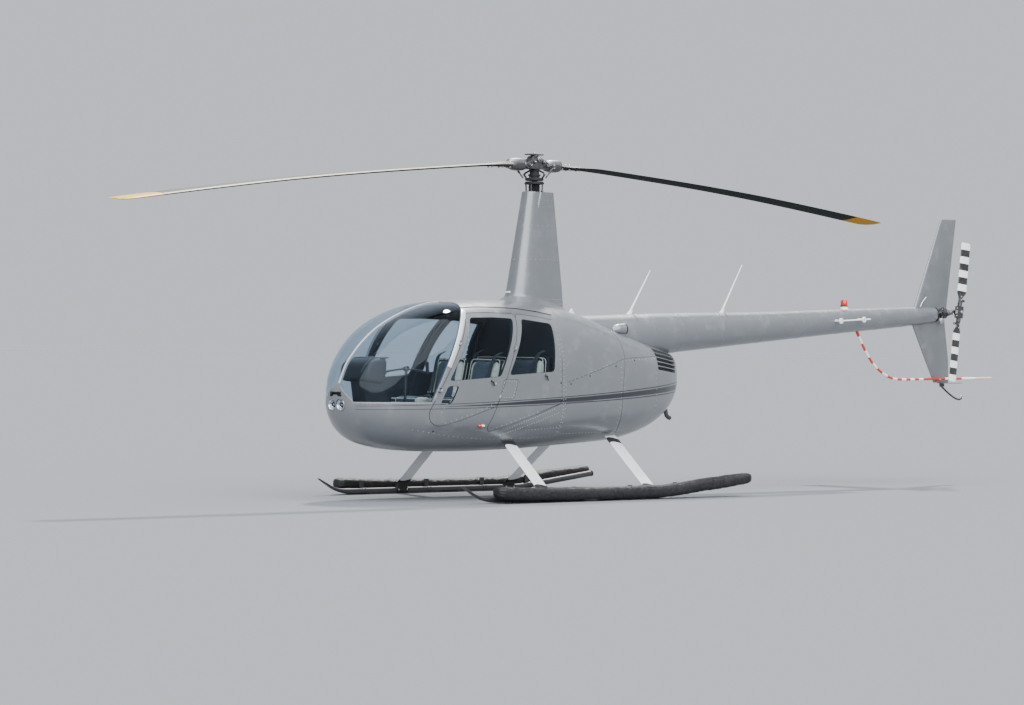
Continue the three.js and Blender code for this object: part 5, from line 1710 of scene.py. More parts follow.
def makeBlades():
    # the aft blade, and the same turned by half a circle, with six bolts each
    for number, half in ((1, 0), (2, math.pi)):
        lean = rotor["teeter"] * (1 if number == 1 else -1)
        shape, along = bladeShape(lean)
        matrix = aboutAxis((0, 0, 1), rotor["azimuth"] + half)
        points, parts = shape
        mould = Mould().add((points @ matrix.T + (mastX, 0, 0), parts), 0, along)
        for r in (0.36, 0.46, 0.60):
            for y in (-0.02, 0.03):
                z = np.interp(r, [0.282, 0.6], [3.130, 3.117]) + lean * r
                high = np.interp(r, [0.282, 0.6], [0.037, 0.026])
                bolt = rodShape((r, y, z - high), (r, y, z + high), 0.010, 12)
                mould.add(turned(bolt, matrix, (mastX, 0, 0)), 3)
        makePiece(mould, "mainBlade" + str(number), "bladeTop bladeUnder bladeEdge steel", "blade_grey",
                  ["main_blade_" + str(number)], body="main_rotor", angle=50)


def makeHub():
    # a block with a crossbar between two plates, and a grip with its horn and links at each end
    matrix = aboutAxis((0, 0, 1), rotor["azimuth"])
    h = rotor["hub"]
    mould = Mould()

    def placed(name):
        # a named outline at the hub's height
        return [(x, h + z) for x, z in rotor[name]]

    parts = [
        (slabShape(softOutline(placed("block"), 0.02, 0.006), -0.040, 0.040, 0.006), 0),
        (latheShape([(0, 0.034), (0.01, 0.040), (0.022, 0.038)], (0, 0, h + 0.078), (0, 0, 1), 28), 0),
        (boxShape((-0.095, -0.040, h + 0.096), (0.085, 0.040, h + 0.108)), 0),
        (latheShape([(0, 0.016), (0.012, 0.015), (0.016, 0.010)], (0, 0, h + 0.108), (0, 0, 1), 18), 2),
        (rodShape((-0.225, 0, h), (0.225, 0, h), 0.036, 24), 0),
        (rodShape((0, -0.094, h + 0.058), (0, 0.094, h + 0.058), 0.014, 16), 2),
    ]
    for s in (-1, 1):
        low, high = sorted((0.046 * s, 0.058 * s))
        parts.append((slabShape(softOutline(placed("plate"), 0.014, 0.006), low, high, 0.003), 1))
        for x, z, r in rotor["studs"]:
            parts.append((latheShape([(0, r), (0.016, r), (0.019, r * 0.8), (0.020, r * 0.3)],
                                     (x, 0.056 * s, h + z), (0, s, 0), 20), 2 if x == 0.0 else 0))
            parts.append((rodShape((x, 0.074 * s, h + z), (x, 0.084 * s, h + z), r * 0.5, 6), 2))
        # blade grips: a pale upper shell over a dark one, painted highlight on top and painted shade
        # underneath, and the pitch horn
        parts += [
            (blobShape((0.245 * s, 0, h + 0.026), (0.232, 0.108, 0.068), 2.7, 16, 32), 2),
            (blobShape((0.240 * s, 0, h - 0.010), (0.228, 0.118, 0.098), 2.5, 16, 32), 0),
            (latheShape([(0, 0.046), (0.004, 0.050), (0.018, 0.050), (0.022, 0.046)], (0.150 * s, 0, h),
                        (s, 0, 0), 28), 2),
            (slabShape(softOutline([(x * s, y * s) for x, y in rotor["horn"]], 0.012, 0.006),
                       h - 0.020, h - 0.002, 0.004, "xy"), 0),
            (rodShape((0.127 * s, -0.138 * s, h - 0.006), (0.060 * s, -0.090 * s, h - 0.120), 0.0075, 12),
             1),
            (rodShape((0.127 * s, -0.138 * s, h - 0.030), (0.127 * s, -0.138 * s, h + 0.012), 0.012, 12), 2),
            (rodShape((0.108 * s, -0.125 * s, h - 0.038), (0.088 * s, -0.111 * s, h - 0.072), 0.011, 12), 0),
        ]
    for shape, material in parts:
        mould.add(turned(shape, matrix, (mastX, 0, 0)), material)
    makePiece(mould, "rotorHub", "black hubPlate castPale", "alloy", ["rotor_hub"], body="main_rotor",
              bevel=0.0015)


def makeMast():
    # the turning rod, a disc with bolts and two scissor links above it
    mould = Mould().add(latheShape(rotor["shaft"], (mastX, 0, 0), (0, 0, 1), 48), 0)
    for a in np.arange(6) * math.pi / 3 + 0.3:
        bolt = (mastX + 0.080 * math.cos(a), 0.080 * math.sin(a), 3.010)
        mould.add(rodShape(bolt, (*bolt[:2], 3.017), 0.006, 6), 1)
    for s in (-1, 1):
        a = 1.9
        hinge = np.array([mastX + 0.078 * s * math.cos(a), 0.078 * s * math.sin(a), 3.0])
        elbow = hinge + np.array([0.030 * s * math.cos(a), 0.030 * s * math.sin(a), 0.045])
        top = np.array([mastX + 0.046 * s * math.cos(a), 0.046 * s * math.sin(a), 3.084])
        mould.add(tubeShape(smoothPath([hinge, elbow, top], 9), 0.009, 10), 0)
        mould.add(blobShape(elbow, (0.026, 0.026, 0.026), 2.0, 8, 12), 1)
    makePiece(mould, "rotorMast", "seal hubPlate", "steel", ["rotor_mast"], body="main_rotor", bevel=0.001)


def makeSwashplate():
    # a ribbed boot under the fixed ring of the swashplate, both open round the shaft
    mould = Mould()
    z = np.linspace(2.8805, 2.948, 41)
    ribs = 0.054 + 0.006 * np.cos((z - z[0]) * 2 * np.pi / 0.0135)
    boot = [(a, b) for a, b in zip(z, ribs)] + [(2.948, 0.0365), (2.8805, 0.0365)]
    for profile, material in ((boot, 0), (rotor["ring"], 1)):
        profile = np.array(profile)
        turn = evenTurns(48)
        spoke = np.stack([np.cos(turn), np.sin(turn), 0 * turn], -1)
        rings = spoke * profile[:, 1, None, None] + np.array([mastX, 0, 0])
        rings[..., 2] = profile[:, 0, None]
        mould.add(gridShape(rings, "loop"), material)
    for a in (0.5, 2.1, 3.6, 5.2):
        c, s = math.cos(a), math.sin(a)
        mould.add(rodShape((mastX + 0.079 * c, 0.079 * s, 2.8815), (mastX + 0.082 * c, 0.082 * s, 2.952),
                           0.0075, 12), 2)
        mould.add(blobShape((mastX + 0.086 * c, 0.086 * s, 2.960), (0.026, 0.026, 0.022), 2.0, 8, 12), 1)
        mould.add(latheShape([(0, 0.014), (0.006, 0.014), (0.008, 0.010)],
                             (mastX + 0.079 * c, 0.079 * s, 2.8803), (0, 0, 1), 12), 2)
    makePiece(mould, "swashplate", "seal seal darkMetal", "steel", ["swashplate"], bevel=0.0008)


makeBlades()
makeHub()
makeMast()
makeSwashplate()
print("main rotor made")


# landing gear
gear = {
    "y": 1.0,
    "radius": 0.0285,
    "skid": [
        (-1.790, 0.160), (-1.755, 0.141), (-1.700, 0.112), (-1.620, 0.072), (-1.535, 0.047), (-1.430, 0.036),
        (-1.320, 0.033), (-0.600, 0.033), (0.100, 0.033), (0.700, 0.033), (0.790, 0.036), (0.900, 0.047),
        (1.330, 0.096), (1.760, 0.146),
    ],
    "toe": [(-1.790, 0.006, 0.016), (-1.700, 0.010, 0.027), (-1.560, 0.017, 0.0285),
            (-1.420, 0.0285, 0.0285)],
    "shoes": [(-1.180, -0.260), (-0.060, 0.640)],
    "plates": [(-1.240, 0.033), (-0.420, 0.033), (0.300, 0.033), (0.900, 0.047)],
    "bagY": 1.117,
    "bag": [  # x, height, half width, half height
        (-1.482, 0.107, 0.026, 0.020), (-1.476, 0.106, 0.044, 0.034), (-1.462, 0.104, 0.060, 0.046),
        (-1.410, 0.099, 0.078, 0.060), (-1.250, 0.090, 0.083, 0.062), (-0.840, 0.078, 0.083, 0.061),
        (-0.380, 0.072, 0.083, 0.060), (0.100, 0.070, 0.083, 0.060), (0.560, 0.072, 0.083, 0.060),
        (0.790, 0.082, 0.083, 0.061), (1.060, 0.110, 0.082, 0.061), (1.330, 0.133, 0.080, 0.060),
        (1.600, 0.156, 0.078, 0.058), (1.750, 0.170, 0.074, 0.053), (1.795, 0.175, 0.056, 0.041),
        (1.808, 0.177, 0.036, 0.027), (1.812, 0.177, 0.020, 0.015),
    ],
    "lumps": 0.0026,
    "snaps": 0.155,
    "legs": {
        "front": ((-0.766, 0.452, 0.568), (-0.768, 0.988, 0.096)),
        "rear": ((0.666, 0.366, 0.576), (0.626, 0.988, 0.074)),
    },
    "chord": 0.145,
    "thick": 0.048,
    "collars": {"front": (0.105, 0.150), "rear": (0.110, 0.150)},  # shares of the leg covered at the hull
}


def lumps(u, v, waves, turns):
    # a sum of waves over a length u and an angle v, each with its own phase: a rough field between -1 and 1
    field = 0 * u * v
    for length, around, size in waves:
        field = field + size * np.sin(2 * np.pi * u / length + around * v + turns.uniform(0, 2 * np.pi))
    return field


def makeBag():
    # superellipses along the bag, their half sizes grown by lumps, creases, rays at the ends and a flap
    rows = np.array(gear["bag"])
    x = np.concatenate([np.linspace(-1.482, -1.40, 16), np.linspace(-1.39, 1.74, 230),
                        np.linspace(1.748, 1.812, 14)])
    z, wide, high = (smoothCurve(rows[:, 0], rows[:, k], x)[:, None] for k in (1, 2, 3))
    count = 56
    turn = evenTurns(count, 0.5)[None]
    a, b = ringPath(count, 2.78)
    full = np.clip(np.minimum(x + 1.482, 1.812 - x) / 0.05, 0.15, 1)[:, None]
    rough = lumps(x[:, None], turn, [
        (0.41, 1, 0.5), (0.23, -2, 0.4), (0.16, 3, 0.35), (0.105, -1, 0.35), (0.071, 4, 0.25),
        (0.052, -5, 0.22), (0.037, 3, 0.16), (0.9, 2, 0.5),
    ], random)
    creases = -np.abs(np.sin(np.pi * x[:, None] / 0.19 + 0.6 * np.sin(turn * 2 + x[:, None] * 5))) ** 14
    rays = np.sin(turn * 14) * np.clip(1 - np.minimum(x + 1.482, 1.812 - x) / 0.07, 0, 1)[:, None]
    flap = np.exp(-((turn - 2.25) / 0.09) ** 2) - 0.6 * np.exp(-((turn - 2.05) / 0.05) ** 2)
    grow = gear["lumps"] * full * (rough * 0.8 + creases * 0.9 + flap * 1.3 - 0.6) + rays * 0.0035
    rings = stacked(x[:, None] + mastX, -gear["bagY"] + a * (wide + grow), z + b * (high + grow))
    mould = Mould().add(gridShape(rings), 0)
    at = np.arange(-1.36, 1.72, gear["snaps"])
    angle = 2.42

    def bagPoint(v, u):
        # the smooth bag at an angle v and a length u
        zed, halfWide, halfHigh = (smoothCurve(rows[:, 0], rows[:, k], u) for k in (1, 2, 3))
        c, s = np.cos(v), np.sin(v)
        return stacked(u + mastX, -gear["bagY"] + np.sign(c) * np.abs(c) ** 0.72 * halfWide,
                       zed + np.sign(s) * np.abs(s) ** 0.72 * halfHigh)

    rivets(mould, bagPoint, np.full(len(at), angle), at, 0.008, 0.004, 1, 10)
    makePair(mould, "FloatBag", "float black", "black_rubber", "float_bag", angle=60)


def makeSkid():
    # a tube flattened to the toe, with a cap, wear shoes, and plates and rings for the bag
    g = gear
    path = np.array(g["skid"])
    path = smoothPath(np.stack([path[:, 0] + mastX, 0 * path[:, 0] - g["y"], path[:, 1]], -1), 150)
    toe = np.array(g["toe"])
    radius = np.stack([np.interp(path[:, 0] - mastX, toe[:, 0], toe[:, k]) for k in (1, 2)], -1)
    mould = Mould().add(tubeShape(path, radius, 20), 0)
    end = path[-1]
    mould.add(latheShape([(0, 0.029), (0.002, 0.0305), (0.018, 0.0305), (0.022, 0.020)],
                         end - (0.012, 0, 0.0014), (0.993, 0, 0.115), 24), 1)
    for x0, x1 in g["shoes"]:
        outline = softOutline([(x0 + mastX, -g["y"] - 0.020), (x1 + mastX, -g["y"] - 0.020),
                               (x1 + mastX, -g["y"] + 0.020), (x0 + mastX, -g["y"] + 0.020)], 0.012, 0.01)
        mould.add(slabShape(outline, 0.0, 0.013, 0.002, "xy"), 2)
    for x, z in g["plates"]:
        low = (x - 0.025 + mastX, -g["y"] - 0.0317, z)
        mould.add(boxShape(low, (x + 0.025 + mastX, -g["y"] - 0.020, z + 0.10)), 0)
        turn = evenTurns(24)
        ring = stacked(x + mastX, -g["y"] + 0.031 * np.cos(turn), z + 0.031 * np.sin(turn))
        for d in (-0.018, 0.018):
            mould.add(tubeShape(ring + (d, 0, 0), 0.003, 8, ends="loop"), 2)
    makePair(mould, "Skid", "black seal darkMetal", "black_paint", "skid", bevel=0.001)


def makeLegs():
    # wing sections from the hull to the skid, with a collar at the top and a saddle at the foot
    g = gear
    for name, (top, foot) in g["legs"].items():
        top, foot = (np.array([x + mastX, -y, z]) for x, y, z in (top, foot))
        chord, thick = np.array([g["chord"], 0, 0]), np.array([0, 0.66, 0.75]) * g["thick"]

        def legShape(shares, scale, sides=48):
            # sections at shares of the leg, the thickness growing 2.2 times as fast as the scale
            middle = top + (foot - top) * np.reshape(shares, (-1, 1))
            scale = np.broadcast_to(scale, len(middle))[:, None]
            leading = middle - 0.45 * chord - (scale - 1) * 0.40 * chord
            grow = scale - 1
            return foilShape(leading, chord * (1 + grow * 0.8), thick * (1 + grow * 2.2), sides)

        mould = Mould().add(legShape(np.linspace(0, 1, 24), 1.0), 0)
        low, high = g["collars"][name]
        mould.add(legShape([low - 0.03, low, high, high + 0.004], [1.13, 1.13, 1.10, 1.02]), 1)
        mould.add(legShape([0.905, 0.908, 0.985, 1.0], [1.02, 1.07, 1.07, 1.03]), 1)
        x, z = foot[0], 0.033
        y = -g["y"]
        mould.add(latheShape([(0, 0.0295), (0.003, 0.0335), (0.141, 0.0335), (0.144, 0.0295)],
                             (x - 0.072, y, z), (1, 0, 0), 28), 1)
        rise = np.linspace(0, 1, 8)[:, None]
        a, b = ringPath(32, 3.2)
        rings = stacked(x + (0.066 + 0.006 * (1 - rise)) * a,
                        y + 0.012 * rise + (0.033 - 0.011 * rise) * b,
                        z + 0.004 + (foot[2] + 0.014 - z) * rise + 0 * a)
        mould.add(gridShape(rings), 1)
        for dx in (-0.05, 0.05):
            for dy in (-1, 1):
                start = (x + dx, y + 0.030 * dy, z + 0.006)
                mould.add(rodShape(start, (start[0], start[1] + 0.008 * dy, start[2]), 0.008, 6), 2)
        makePair(mould, name.title() + "Leg", "legPaint seal steel", "white_paint", name + "_leg", angle=50)


makeBag()
makeSkid()
makeLegs()
print("landing gear made")


# small outside pieces

def makeLamps():
    # each lamp: a rim and bowl turned about one closed profile, a bulb, and a lens over them
    lamp = outside["lamp"]
    bowls, lenses = Mould(), Mould()
    r = lamp["radius"]
    face = frontPoint(lamp["y"], lamp["z"])[0] + 0.004
    profile = np.array([
        (0.0, r - 0.001), (-0.002, r - 0.004), (0.0, r - 0.007), (0.008, r - 0.010), (0.020, r * 0.64),
        (0.032, r * 0.40), (0.038, r * 0.12), (0.046, r * 0.12), (0.046, r * 0.8), (0.020, r),
    ])
    turn = evenTurns(48)
    spoke = np.stack([0 * turn, np.cos(turn), np.sin(turn)], -1)
    centre = np.array([face, -lamp["y"], lamp["z"]])
    rings = spoke * profile[:, 1, None, None] + centre
    rings[..., 0] += profile[:, 0, None]
    bowls.add(gridShape(rings, "loop"), 0)
    bowls.add(blobShape(centre + (0.022, 0, 0), (0.020, 0.016, 0.016), 2.0, 8, 14), 1)
    bowls.add(latheShape([(0, 0.006), (0.012, 0.006)], centre + (0.028, 0, 0), (1, 0, 0), 12), 2)
    dome = [(0.0, 0.006), (0.0015, 0.020), (0.0045, 0.034), (0.008, r - 0.007), (0.0095, r - 0.007),
            (0.0065, 0.034), (0.0035, 0.020), (0.002, 0.004)]
    lenses.add(latheShape(dome, centre - (0.003, 0, 0), (1, 0, 0), 40), 0)
    bowls.add(boxShape((face + 0.020, -0.115, lamp["z"] - 0.012), (face + 0.040, 0, lamp["z"] + 0.012)), 2)
    makePiece(bowls.both(), "landingLamps", "chrome bulb seal", "alloy", ["landing_lamps"])
    makePiece(lenses.both(), "lampLenses", "lens", "tinted_glazing")


def makeScoop():
    # low rings leaning on the cone, out to the mouth and back inside it
    s = outside["scoop"]
    x0, x1 = s["x"]
    share = np.concatenate([np.linspace(0, 1, 12), np.linspace(1, 0.25, 8)])
    inner = np.concatenate([np.zeros(12), np.full(8, 0.004)])
    x = x0 + (x1 - x0) * share
    high = np.interp(share, [0, 0.12, 0.4, 1], [0.004, 0.018, 0.034, s["high"]]) - inner
    wide = s["wide"] * np.interp(share, [0, 0.15, 0.4, 1], [0.35, 0.66, 0.88, 1.0]) - 2 * inner
    turn = evenTurns(40)
    foot = conePoint(x, np.full(len(x), s["turn"]))
    out = np.array([0, -math.cos(s["turn"]), math.sin(s["turn"])])
    side = np.array([0, math.sin(s["turn"]), math.cos(s["turn"])])
    lift = np.maximum(np.sin(turn), -0.25)
    across = (np.cos(turn) * wide[:, None] / 2)[..., None]
    rings = foot[:, None] + side * across + out * (lift * high[:, None])[..., None]
    points, faces = gridShape(rings)
    quads = faces[0]
    # the last band before the mouth and the faces inside it are black; inside the mouth this is painted shade
    dark = quads.max(1) >= 11 * 40
    mould = Mould().add((points, [(quads[~dark], 0), (quads[dark], 1)] + [(f, 1) for f in faces[1:]]))
    makePiece(mould, "coolingScoop", "silverPlain seal", "silver_paint", ["cooling_scoop"], angle=60)


def makeFinAntenna():
    # thin sections from the foot to the tip, the chord and the sweep changing evenly
    b = outside["blade"]
    share = np.array([0, 0.3, 0.6, 0.9, 0.97, 1.0])
    z = b["z"][0] + (b["z"][1] - b["z"][0]) * share
    chord = b["chord"] + (b["tip"] - b["chord"]) * share - np.array([0, 0, 0, 0, 0.004, 0.012])
    x = b["x"] + b["sweep"] * share + np.array([0, 0, 0, 0, 0.002, 0.006]) + mastX
    zero = 0 * z
    thick = np.interp(share, [0, 1], [0.020, 0.008]) * np.array([1, 1, 1, 1, 0.8, 0.4])
    mould = Mould().add(foilShape(np.stack([x, zero, z], -1), np.stack([chord, zero, zero], -1),
                                  np.stack([zero, thick, zero], -1), 32), 0)
    makePiece(mould, "finAntenna", "white", "white_paint", ["fin_antenna"], angle=50)


def makeBeacon():
    # a foot, a seal and a dome, each turned about the upright axis
    b = outside["beacon"]
    mould = Mould()
    for number, (part, z) in enumerate(zip(("foot", "seal", "dome"), b["heights"])):
        mould.add(latheShape(b[part], (b["x"] + mastX, 0, z), (0, 0, 1), 36), number)
    makePiece(mould, "beaconLight", "white seal redLens", "red_lens", ["beacon"])


def makeRail():
    # a bar on two turned stands
    start, end = (np.array(p) + (mastX, 0, 0) for p in outside["rail"])
    mould = Mould().add(rodShape(start, end, 0.0075, 16), 0)
    for x, z in outside["stands"]:
        mould.add(latheShape(outside["stand"], (x + mastX, -0.112 + 0.035, z), (0, -1, 0), 28), 0)
        mould.add(rodShape((x + mastX, -0.208, z), (x + mastX, -0.214, z), 0.008, 6), 1)
    makePiece(mould, "railAntenna", "white alloy", "white_paint", ["rail_antenna"])


def makeWhips():
    # tapered rods, each on a foot whose rings shrink by 0.72 times the rise to the power 0.7
    for name, ((x0, z0), (x1, z1)) in outside["whips"].items():
        foot, tip = np.array([x0 + mastX, 0, z0]), np.array([x1 + mastX, 0, z1])
        along = unit(tip - foot)
        length = np.linalg.norm(tip - foot)
        profile = [(-0.03, 0.0105), (0.0, 0.0115), (0.10, 0.0105), (0.20, 0.0085), (length - 0.004, 0.0045),
                   (length, 0.0015)]
        mould = Mould().add(latheShape(profile, foot, along, 16), 0)
        rise = np.linspace(0, 1, 8)
        size = 1 - 0.72 * rise ** 0.7
        a, across = ringPath(28, 2.2)
        rings = stacked(foot[0] - 0.010 + 0.045 * rise[:, None] + size[:, None] * 0.052 * a,
                        size[:, None] * 0.024 * across, foot[2] - 0.020 + 0.062 * rise[:, None])
        mould.add(gridShape(rings), 0)
        makePiece(mould, name + "Whip", "white", "white_paint", [name + "_whip_antenna"])


makeLamps()
makeScoop()
makeFinAntenna()
makeBeacon()
makeRail()
makeWhips()
print("outside pieces made")


# cabin
cabin = {
    "console": {
        "head": [(-2.236, 1.095), (-2.214, 1.250), (-2.110, 1.296), (-1.984, 1.301), (-1.980, 1.205),
                 (-2.010, 1.068)],
        "foot": [(-2.100, 0.613), (-1.790, 0.613), (-1.850, 0.880), (-1.990, 1.090), (-2.190, 1.118)],
        "hood": [(-2.06, 1.290), (-1.975, 1.299), (-1.955, 1.303), (-1.975, 1.312), (-2.06, 1.304)],
        "halves": (0.198, 0.094),  # of the head's and the foot's widths
        "dials": [(-0.130, 1.258), (-0.045, 1.258), (0.045, 1.258), (0.130, 1.258), (-0.130, 1.165),
                  (-0.045, 1.165), (0.045, 1.165), (0.130, 1.165)],
        "dial": 0.036,
    },
    "seatY": (0.2425, 0.25),  # middles of the front and the rear seats
    "cushions": {  # centre, size before it swells, lean about the crosswise axis, width of the cream edges
        "FrontCushion": {"at": (-1.190, 0.882), "size": (0.440, 0.402, 0.070), "lean": 0.105, "edge": 0.066},
        "FrontBack": {"at": (-0.845, 1.082), "size": (0.072, 0.402, 0.430), "lean": 0.2208, "edge": 0.072},
        "RearCushion": {"at": (-0.445, 0.868), "size": (0.370, 0.470, 0.070), "lean": 0.0, "edge": 0.0},
        "RearBack": {"at": (-0.310, 1.100), "size": (0.066, 0.470, 0.430), "lean": 0.064, "edge": 0.060},
    },
    "stick": {
        "post": [(-1.555, 0, 0.612), (-1.600, 0, 0.900), (-1.590, 0, 1.190)],
        "grip": [  # x, distance from the middle, height
            (-1.588, 0.298, 1.150), (-1.591, 0.298, 1.175), (-1.597, 0.299, 1.215), (-1.603, 0.300, 1.262),
            (-1.606, 0.300, 1.274),
        ],
        "gripRadii": ([0, 0.1, 0.5, 0.85, 1], [0.013, 0.0165, 0.0145, 0.0175, 0.012]),  # by share of length
    },
    "bases": {  # side views under and behind the cushions
        "front": [
            (-1.422, 0.614), (-1.422, 0.845), (-1.395, 0.868), (-1.010, 0.828), (-0.905, 0.828),
            (-0.905, 0.614),
        ],
        "lid": [(-1.36, 0.640), (-1.36, 0.800), (-0.96, 0.800), (-0.96, 0.640)],
        "frontBack": [(-0.895, 0.835), (-0.868, 0.835), (-0.770, 1.285), (-0.797, 1.285)],
        "rear": [(-0.636, 0.614), (-0.636, 0.825), (-0.255, 0.825), (-0.255, 0.614)],
        "rearBack": [(-0.285, 0.84), (-0.262, 0.84), (-0.232, 1.325), (-0.255, 1.325)],
    },
    "voxel": 0.0085,
    "pressure": 4.0,  # of the cloth
    "cap": 0.016,  # furthest that padding moves
    "channel": (0.0045, 0.006),  # depth and width of a sewn channel
}


def swollen(shape, cap):
    # the shape remeshed and blown up as cloth for twenty frames; no point moves further than the cap
    points, faces = shape
    mesh = bpy.data.meshes.new("padding")
    mesh.from_pydata(points.tolist(), [], [tuple(f) for group in faces for f in group.tolist()])
    pad = bpy.data.objects.new("padding", mesh)
    bpy.context.collection.objects.link(pad)
    voxels = pad.modifiers.new("voxels", "REMESH")
    voxels.mode = "VOXEL"
    voxels.voxel_size = cabin["voxel"]

    def applied():
        # the mesh as its modifiers leave it
        bpy.context.view_layer.update()
        return bpy.data.meshes.new_from_object(pad.evaluated_get(bpy.context.evaluated_depsgraph_get()))

    pad.data = applied()
    pad.modifiers.clear()
    size = len(pad.data.vertices)
    start = np.empty(size * 3)
    pad.data.vertices.foreach_get("co", start)
    moved = start.copy()
    cloth = pad.modifiers.new("cloth", "CLOTH")
    cloth.settings.quality = 6
    cloth.settings.use_pressure = True
    cloth.settings.uniform_pressure_force = cabin["pressure"]
    cloth.settings.effector_weights.gravity = 0
    for number in range(1, 21):
        bpy.context.scene.frame_set(number)
    last = applied()
    last.vertices.foreach_get("co", moved)
    pad.modifiers.clear()
    bpy.context.scene.frame_set(1)
    start, moved = start.reshape(-1, 3), moved.reshape(-1, 3)
    step = moved - start
    length = np.linalg.norm(step, axis=1, keepdims=True)
    points = start + step * np.minimum(1, cap / np.maximum(length, 1e-9))
    sides = np.empty(len(pad.data.polygons), int)
    pad.data.polygons.foreach_get("loop_total", sides)
    corners = np.empty(len(pad.data.loops), int)
    pad.data.loops.foreach_get("vertex_index", corners)
    first = np.concatenate([[0], np.cumsum(sides)[:-1]])
    faces = [corners[first[sides == n, None] + np.arange(n)] for n in (3, 4) if np.any(sides == n)]
    bpy.data.objects.remove(pad)
    return points, faces


def makeCushion(name, c):
    # a crowned cushion with piped edges and sewn channels, and cream leather outside the side channels
    x, z = c["at"]
    size = np.array(c["size"])
    upright = size[2] > size[0]
    half = size / 2
    centre = np.array([x + mastX, -cabin["seatY"][0 if "Front" in name else 1], z])
    blob = blobShape((0, 0, 0), size - 0.012, 6.0, 30, 64)
    points, faces = swollen(blob, cabin["cap"])
    thin = 0 if upright else 2
    lengthwise = 2 if upright else 0
    along = points[:, lengthwise]
    crown = (1 - (points[:, 1] / half[1]) ** 2).clip(0) * (1 - (along / half[lengthwise]) ** 2).clip(0)
    points[:, thin] *= 1 + 0.22 * crown
    depth, width = cabin["channel"]
    lines = [s * (half[1] - (c["edge"] or 0.075)) for s in (-1, 1)]
    groove = sum(np.exp(-((points[:, 1] - at) / width) ** 2) for at in lines)
    for share in (-0.5, 0.0, 0.5):
        within = np.abs(points[:, 1]) < lines[1]
        groove = groove + 0.8 * within * np.exp(-((along - share * half[lengthwise]) / width) ** 2)
    points[:, thin] -= np.sign(points[:, thin]) * depth * np.minimum(groove, 1)
    matrix = aboutAxis((0, 1, 0), c["lean"])
    parts = []
    for group in faces:
        off = np.abs(points[group, 1].mean(1))
        number = np.where((off > lines[1]) & (c["edge"] > 0), 1, 0)
        parts += [(group[number == k], k) for k in (0, 1)]
    mould = Mould().add((points @ matrix.T + centre, parts))
    ring = softOutline([(-1, -1), (1, -1), (1, 1), (-1, 1)], 0.22, 0.03)
    flat = np.zeros((len(ring), 3))
    flat[:, 1] = ring[:, 0] * (half[1] - 0.004)
    flat[:, lengthwise] = ring[:, 1] * (half[lengthwise] - 0.004)
    for side in (-1, 1):
        line = flat.copy()
        line[:, thin] = side * half[thin] * 0.55
        mould.add(turned(tubeShape(line, 0.0042, 8, ends="loop"), matrix, centre), 1 if c["edge"] else 2)
    return mould


def makeCushions():
    # four padded cushions on each side
    for name, c in cabin["cushions"].items():
        for piece in makePair(makeCushion(name, c), name, "seat cream piping", "seat_cloth", angle=60):
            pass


def makeSeatBases():
    # boxes under the cushions, each with a lid or a thin back, and two posts behind each front seat
    def slab(name, radius, low, high, soft):
        outline = softOutline(cabin["bases"][name], radius, 0.012) + (mastX, 0)
        return slabShape(outline, low, high, soft)

    front = Mould()
    front.add(slab("front", 0.02, -0.452, -0.033, 0.008), 0)
    front.add(slab("lid", 0.03, -0.4555, -0.450, 0.002), 1)
    front.add(slab("frontBack", 0.010, -0.440, -0.045, 0.006), 1)
    for y in (-0.38, -0.105):
        rail = smoothPath([(-0.885 + mastX, y, 0.80), (-0.868 + mastX, y, 0.92), (-0.775 + mastX, y, 1.30)],
                          20)
        front.add(tubeShape(rail, 0.011, 12), 2)
    makePair(front, "FrontSeatBase", "plastic lining black", "seat_cloth", "front_seat", bevel=0.002)
    rear = Mould()
    rear.add(slab("rear", 0.02, -0.498, -0.002, 0.006), 0)
    rear.add(slab("rearBack", 0.008, -0.495, -0.002, 0.004), 1)
    makePiece(rear.both(), "rearSeatBase", "plastic lining", "seat_cloth", ["rear_seat"], bevel=0.002)


def strapShape(path, out, width, thick=0.0022):
    # a flat band along a path, its face turned towards out
    path = smoothPath(path, 60)
    ahead = unit(np.gradient(path, axis=0))
    side = unit(np.cross(ahead, out))
    up = np.cross(side, ahead)
    a, b = ringPath(16, 6.0)
    return sweepShape(path, side, up, a * width / 2, b * thick / 2)


def makeBelts():
    # lap and shoulder bands with a buckle for each seat
    mould = Mould()
    front, rear = cabin["seatY"]
    # x, y and half width of the lap band, heights of the lap and the shoulder, reach aft of the upper band
    rows = ((-0.99, front, 0.205, 0.940, 1.42, 0.17), (-0.42, rear, 0.225, 0.918, 1.44, 0.115))
    for x, off, half, top, rise, back in rows:
        x, y = x + mastX, -off
        lap = [(x + 0.06, y - half - 0.006, top - 0.08), (x + 0.02, y - half + 0.01, top - 0.01),
               (x - 0.08, y - 0.12, top + 0.006), (x - 0.10, y, top + 0.004),
               (x - 0.06, y + 0.12, top + 0.006), (x + 0.03, y + half - 0.02, top - 0.004),
               (x + 0.06, y + half - 0.002, top - 0.06)]
        mould.add(strapShape(lap, (0, 0, 1), 0.047), 0)
        shoulder = [(x + back + 0.06, y - half + 0.05, rise - 0.06),
                    (x + back - 0.02, y - half + 0.055, rise - 0.10),
                    (x + back - 0.095, y - half + 0.075, top + 0.20), (x + 0.005, y - 0.10, top + 0.06),
                    (x - 0.055, y - 0.02, top + 0.010)]
        mould.add(strapShape(shoulder, (-1, 0, 0.25), 0.047), 0)
        mould.add(boxShape((x - 0.130, y - 0.030, top + 0.004), (x - 0.070, y + 0.030, top + 0.018)), 1)
        mould.add(boxShape((x - 0.112, y - 0.012, top + 0.018), (x - 0.088, y + 0.012, top + 0.022)), 2)
    makePiece(mould.both(), "seatBelts", "webbing steel red", "seat_cloth", bevel=0.002)


